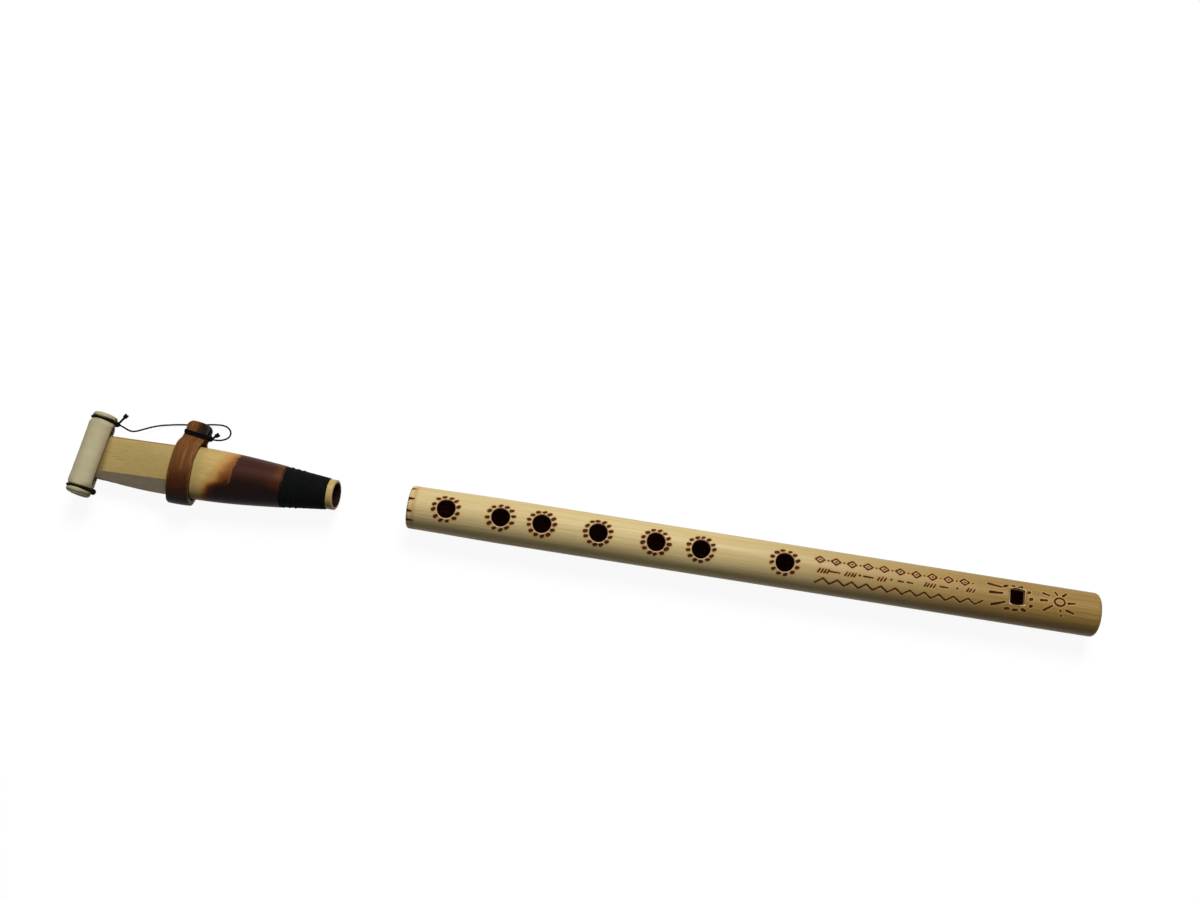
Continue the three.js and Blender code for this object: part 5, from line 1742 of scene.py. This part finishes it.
def cap_strip(side, seed):
    """Points, faces and strip places of one half-round strip: side 1 is the front, -1 the back."""
    width = CAP_WIDTH if side > 0 else CAP_BACK_WIDTH
    middle = (width - CAP_WIDTH) / 2
    draw = random.Random(seed)
    phases = [draw.uniform(0, 2 * math.pi) for _ in CAP_WAVE_RATES]
    arc = np.linspace(0, math.pi, CAP_ARC_COLUMNS)
    face = np.linspace(-1, 1, CAP_FACE_COLUMNS + 2)[1:-1]
    points, places = [], []
    for place in cap_stations():
        from_end = CAP_LENGTH / 2 - abs(place)
        inset = 0.0
        if from_end < CAP_END_ROUND:
            inset = CAP_END_ROUND - math.sqrt(CAP_END_ROUND ** 2 - (CAP_END_ROUND - from_end) ** 2)
        inset += GROOVE_DEPTH * math.exp(-((abs(place) - CAP_TIE_REACH) / GROOVE_REACH) ** 4)
        inset += CAP_WAIST * (1 - (2 * place / CAP_LENGTH) ** 2)
        wave = sum(
            CAP_WAVE * math.sin(place * rate + phase) for rate, phase in zip(CAP_WAVE_RATES, phases)
        )
        half_width, height = width / 2 - inset + wave, CAP_HEIGHT - inset * CAP_HEIGHT_INSET + wave
        rim = min(CAP_RIM, height * CAP_RIM_SHARE)
        across = half_width * np.cos(arc)
        up = rim + (height - rim) * np.sin(arc) ** CAP_ARC_FULLNESS
        flat = face * (half_width - rim)
        ring_across = np.concatenate([across, flat])
        ring_up = np.concatenate([up, np.zeros(len(flat))])
        swell = CAP_END_SWELL * float(ease((abs(place) - CAP_SWELL_START) / CAP_SWELL_RAMP))
        ring_up = ring_up - swell * (1 - ring_up / height)
        points.append(np.stack([
            middle + ring_across, np.full(len(ring_up), place), side * (CAP_FACE_HEIGHT + ring_up),
        ], axis=1))
        around = np.concatenate([arc * width / 2, flat])
        places.append(np.stack([np.full(len(ring_up), place), around, ring_up], axis=1))
    faces = skin_faces(len(points), len(points[0]))
    if side > 0:
        faces = [tuple(reversed(corners)) for corners in faces]
    return placed_cap(np.vstack(points)), faces, np.vstack(places)


print("cap centre:", round(CAP_CENTRE, 1), "face height:", round(CAP_FACE_HEIGHT, 2))

# %% Finish: cap cane
CAP_CREAM = colour(194, 183, 146)
CAP_STREAK = colour(178, 165, 124)
CAP_SHADE = colour(184, 174, 138)
CAP_PALE = colour(214, 206, 174)
CAP_FIBRE = colour(150, 134, 92)


def cap_finish():
    """Smooth rind, with faint streaks, and paler rubbed fibres past the ties."""
    material, tree, shader = start_finish(
        "cream_cap_rind", Coat_Weight=0.05, Coat_Roughness=0.4, IOR=1.45, Specular_IOR_Level=0.15,
    )[:3]
    strip = stored(tree, "strip_place", "Vector")
    grain = use_group(tree, cane_grain, Coordinates=strip, Streak_Width=0.5, Streak_Length=22.0)
    base = glazed(tree, CAP_CREAM, CAP_STREAK, grain["Streaks"], 0.35)
    base = glazed(tree, base, CAP_SHADE, grain["Bands"], 0.5)
    base = glazed(tree, base, CAP_FIBRE, grain["Flecks"], 0.4)
    blotch = ranged(tree, noise(tree, strip, 160.0), 0.45, 0.75)
    base = glazed(tree, base, CAP_PALE, blotch, 0.16)
    reach = maths(tree, "ABSOLUTE", add(tree, "ShaderNodeSeparateXYZ", Vector=strip).outputs[0])
    reach = product(tree, reach, METRE_IN_MM)
    past_tie = ranged(tree, reach, CAP_TIE_REACH + 0.6, CAP_TIE_REACH + 1.6)
    fibres = use_group(tree, cane_grain, Coordinates=strip, Streak_Width=0.3, Streak_Length=5.0)
    base = glazed(tree, base, CAP_FIBRE, product(tree, past_tie, fibres["Streaks"]), 0.45)
    near_tie = maths(tree, "ABSOLUTE", maths(tree, "SUBTRACT", reach, CAP_TIE_REACH))
    base = glazed(tree, base, CAP_FIBRE, ranged(tree, near_tie, 1.5, 0.5), 0.55)
    # Painted shade: the inner face, against the reed, is darkened olive.
    face = ranged(tree, stored(tree, "cap_depth"), 0.5, 0.0)
    base = glazed(tree, base, SEAM_SHADE_OLIVE, face, 0.6)
    paint(tree, shader, Base_Color=base, Roughness=ranged(tree, past_tie, 0.0, 1.0, 0.42, 0.62))
    bumped(tree, shader, product(tree, grain["Streaks"], -1.0), 0.25, 0.04 * MM)
    return material


cap_rind = cap_finish()
for piece_name, node, side, seed in (
    ("cap_front_strip_rounded", "cap_front_strip", 1, 21),
    ("cap_back_strip_rounded", "cap_back_strip", -1, 22),
):
    cap_points, cap_faces, cap_places = cap_strip(side, seed)
    strip = make_piece(piece_name, cap_points, cap_faces, "cap", [cap_rind])
    keep_values(strip, "strip_place", cap_places * MM, "FLOAT_VECTOR")
    keep_values(strip, "cap_depth", cap_places[:, 2])
    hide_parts(node)
    print(piece_name, len(cap_points), "points")

# %% Cap: ties and knots
CAP_TIE_SINK, CAP_TIE_THREAD, CAP_TIE_STEPS = 0.55, 1.1, 40
CAP_TAIL_REACH, CAP_TAIL_SHAPE = 5.4, ((0, 0, 0), (0.22, 0.32, 0.1), (0.46, 0.76, 0.17))
LOWER_KNOT_STRETCH, LOWER_KNOT_TURN = (0.9, 1.0, 1.15), 1.1


def cap_tie_along(width):
    return width / 2 - GROOVE_DEPTH + CAP_TIE_THREAD / 2 - CAP_TIE_SINK


def cap_tie_path(end):
    """Thread from the knot over the front strip, down the mouth's side and under the back strip."""
    up = CAP_HEIGHT - GROOVE_DEPTH * CAP_HEIGHT_INSET + CAP_TIE_THREAD / 2 - CAP_TIE_SINK
    angles = np.linspace(0, math.pi, CAP_TIE_STEPS)
    halves = []
    for side, width in ((1, CAP_WIDTH), (-1, CAP_BACK_WIDTH)):
        middle = (width - CAP_WIDTH) / 2
        along = middle + cap_tie_along(width) * np.cos(angles)
        height = side * (CAP_FACE_HEIGHT + up * np.sin(angles))
        halves.append(np.stack([along, np.full(len(angles), end * CAP_TIE_REACH), height], axis=1))
    knot = np.array([[cap_tie_along(CAP_WIDTH) + 0.3, end * CAP_TIE_REACH, 0.3]])
    path = np.vstack([knot, halves[0], halves[1][::-1], knot * (1, 1, -1)])
    return placed_cap(even_path(path, 0.2))


def cap_knot_centre(end):
    return np.array([CAP_WIDTH / 2 + 0.15, end * CAP_TIE_REACH, 0.0])


for piece_name, node, end in (
    ("cap_upper_tie_wound", "cap_upper_tie", 1), ("cap_lower_tie_wound", "cap_lower_tie", -1),
):
    tie_points, tie_faces = thread_mesh([(cap_tie_path(end), CAP_TIE_THREAD)])
    tie = make_piece(piece_name, tie_points, tie_faces, "cap", [waxed_thread])
    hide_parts(node)

upper_knot, lower_knot = cap_knot_centre(1), cap_knot_centre(-1)
cap_tail = [upper_knot + CAP_TAIL_REACH * np.array(share) for share in CAP_TAIL_SHAPE]
upper_loops = knot_loops(upper_knot, KNOT_LOOP_RADIUS)
lower_loops = knot_loops(lower_knot, KNOT_LOOP_RADIUS, LOWER_KNOT_STRETCH, LOWER_KNOT_TURN)
knot_piece(
    "cap_upper_knot_tied", [(upper_loops, TIE_THREAD), *tail_with_end_knot(cap_tail)],
    "cap", "cap_upper_knot", placed_cap, CAP_TETHER_END,
)
knot_piece("cap_lower_knot_tied", [(lower_loops, TIE_THREAD)], "cap", "cap_lower_knot", placed_cap)
print("cap knots at", placed_cap([upper_knot, lower_knot]).round(1).tolist())

# %% [markdown]
# The table is a pale floor. A camera ray sees it as near white, so that the object stands on a
# clean ground, and so do glossy rays, so that the varnish mirrors the same ground. Other rays
# find a plain dark grey, which throws little light back up, and the object's shadow stays on it.

# %% Floor
FLOOR_SIZE, FLOOR_GREY, FLOOR_LIFT = 6.0, 0.1, 0.93


def floor_finish():
    material = bpy.data.materials.new("pale_floor")
    material.use_nodes = True
    tree = material.node_tree
    tree.nodes.clear()
    rays = add(tree, "ShaderNodeLightPath").outputs
    seen = maths(tree, "MAXIMUM", rays["Is Camera Ray"], rays["Is Glossy Ray"])
    seen = maths(tree, "MAXIMUM", seen, rays["Is Transmission Ray"])
    matt = add(tree, "ShaderNodeBsdfDiffuse", Color=(FLOOR_GREY, FLOOR_GREY, FLOOR_GREY, 1.0))
    lift = product(tree, seen, FLOOR_LIFT)
    glow = add(tree, "ShaderNodeEmission", Color=(1.0, 1.0, 1.0, 1.0), Strength=lift)
    both = add(tree, "ShaderNodeAddShader")
    tree.links.new(matt.outputs[0], both.inputs[0])
    tree.links.new(glow.outputs[0], both.inputs[1])
    output = add(tree, "ShaderNodeOutputMaterial")
    tree.links.new(both.outputs[0], output.inputs["Surface"])
    return material


floor_mesh = bpy.data.meshes.new("floor")
floor_corners = [(x * FLOOR_SIZE / 2, y * FLOOR_SIZE / 2, 0) for x, y in ((-1, -1), (1, -1), (1, 1), (-1, 1))]
floor_mesh.from_pydata(floor_corners, [], [(0, 1, 2, 3)])
floor_mesh.materials.append(floor_finish())
floor = bpy.data.objects.new("floor", floor_mesh)
bpy.context.scene.collection.objects.link(floor)
print("floor:", FLOOR_SIZE, "m")

# %% [markdown]
# The light is a soft box above and behind the instrument and a weak fill in front. The far side
# of the round pieces is bright and the near side falls into shade, as in a window's light. The
# world adds a little even light, and shows as white only to the camera and in reflections.

# %% Lights
KEY_PLACE, KEY_SIZE, KEY_POWER = (0.15, 1.03, 1.36), 0.85, 30.0
FILL_PLACE, FILL_SIZE, FILL_POWER = (0.3, -1.4, 0.9), 1.2, 1.1
WORLD_STRENGTH = 0.05


def soft_box(name, place, size, power):
    """A round lamp that looks at the middle of the row."""
    data = bpy.data.lights.new(name, "AREA")
    data.shape, data.size, data.energy = "DISK", size, power
    lamp = bpy.data.objects.new(name, data)
    bpy.context.scene.collection.objects.link(lamp)
    lamp.location = place
    lamp.rotation_euler = (-Vector(place)).to_track_quat("-Z", "Y").to_euler()


soft_box("key_light", KEY_PLACE, KEY_SIZE, KEY_POWER)
soft_box("fill_light", FILL_PLACE, FILL_SIZE, FILL_POWER)
world = bpy.data.worlds.new("studio")
world.use_nodes = True
world_tree = world.node_tree
world_tree.nodes["Background"].inputs["Color"].default_value = (1.0, 1.0, 1.0, 1.0)
world_rays = add(world_tree, "ShaderNodeLightPath").outputs
world_seen = maths(world_tree, "MAXIMUM", world_rays["Is Camera Ray"], world_rays["Is Transmission Ray"])
world_seen = maths(world_tree, "MAXIMUM", world_seen, world_rays["Is Glossy Ray"])
world_level = ranged(world_tree, world_seen, 0.0, 1.0, WORLD_STRENGTH, 1.0)
world_tree.links.new(world_level, world_tree.nodes["Background"].inputs["Strength"])
bpy.context.scene.world = world
bpy.context.scene.view_settings.view_transform = "Standard"
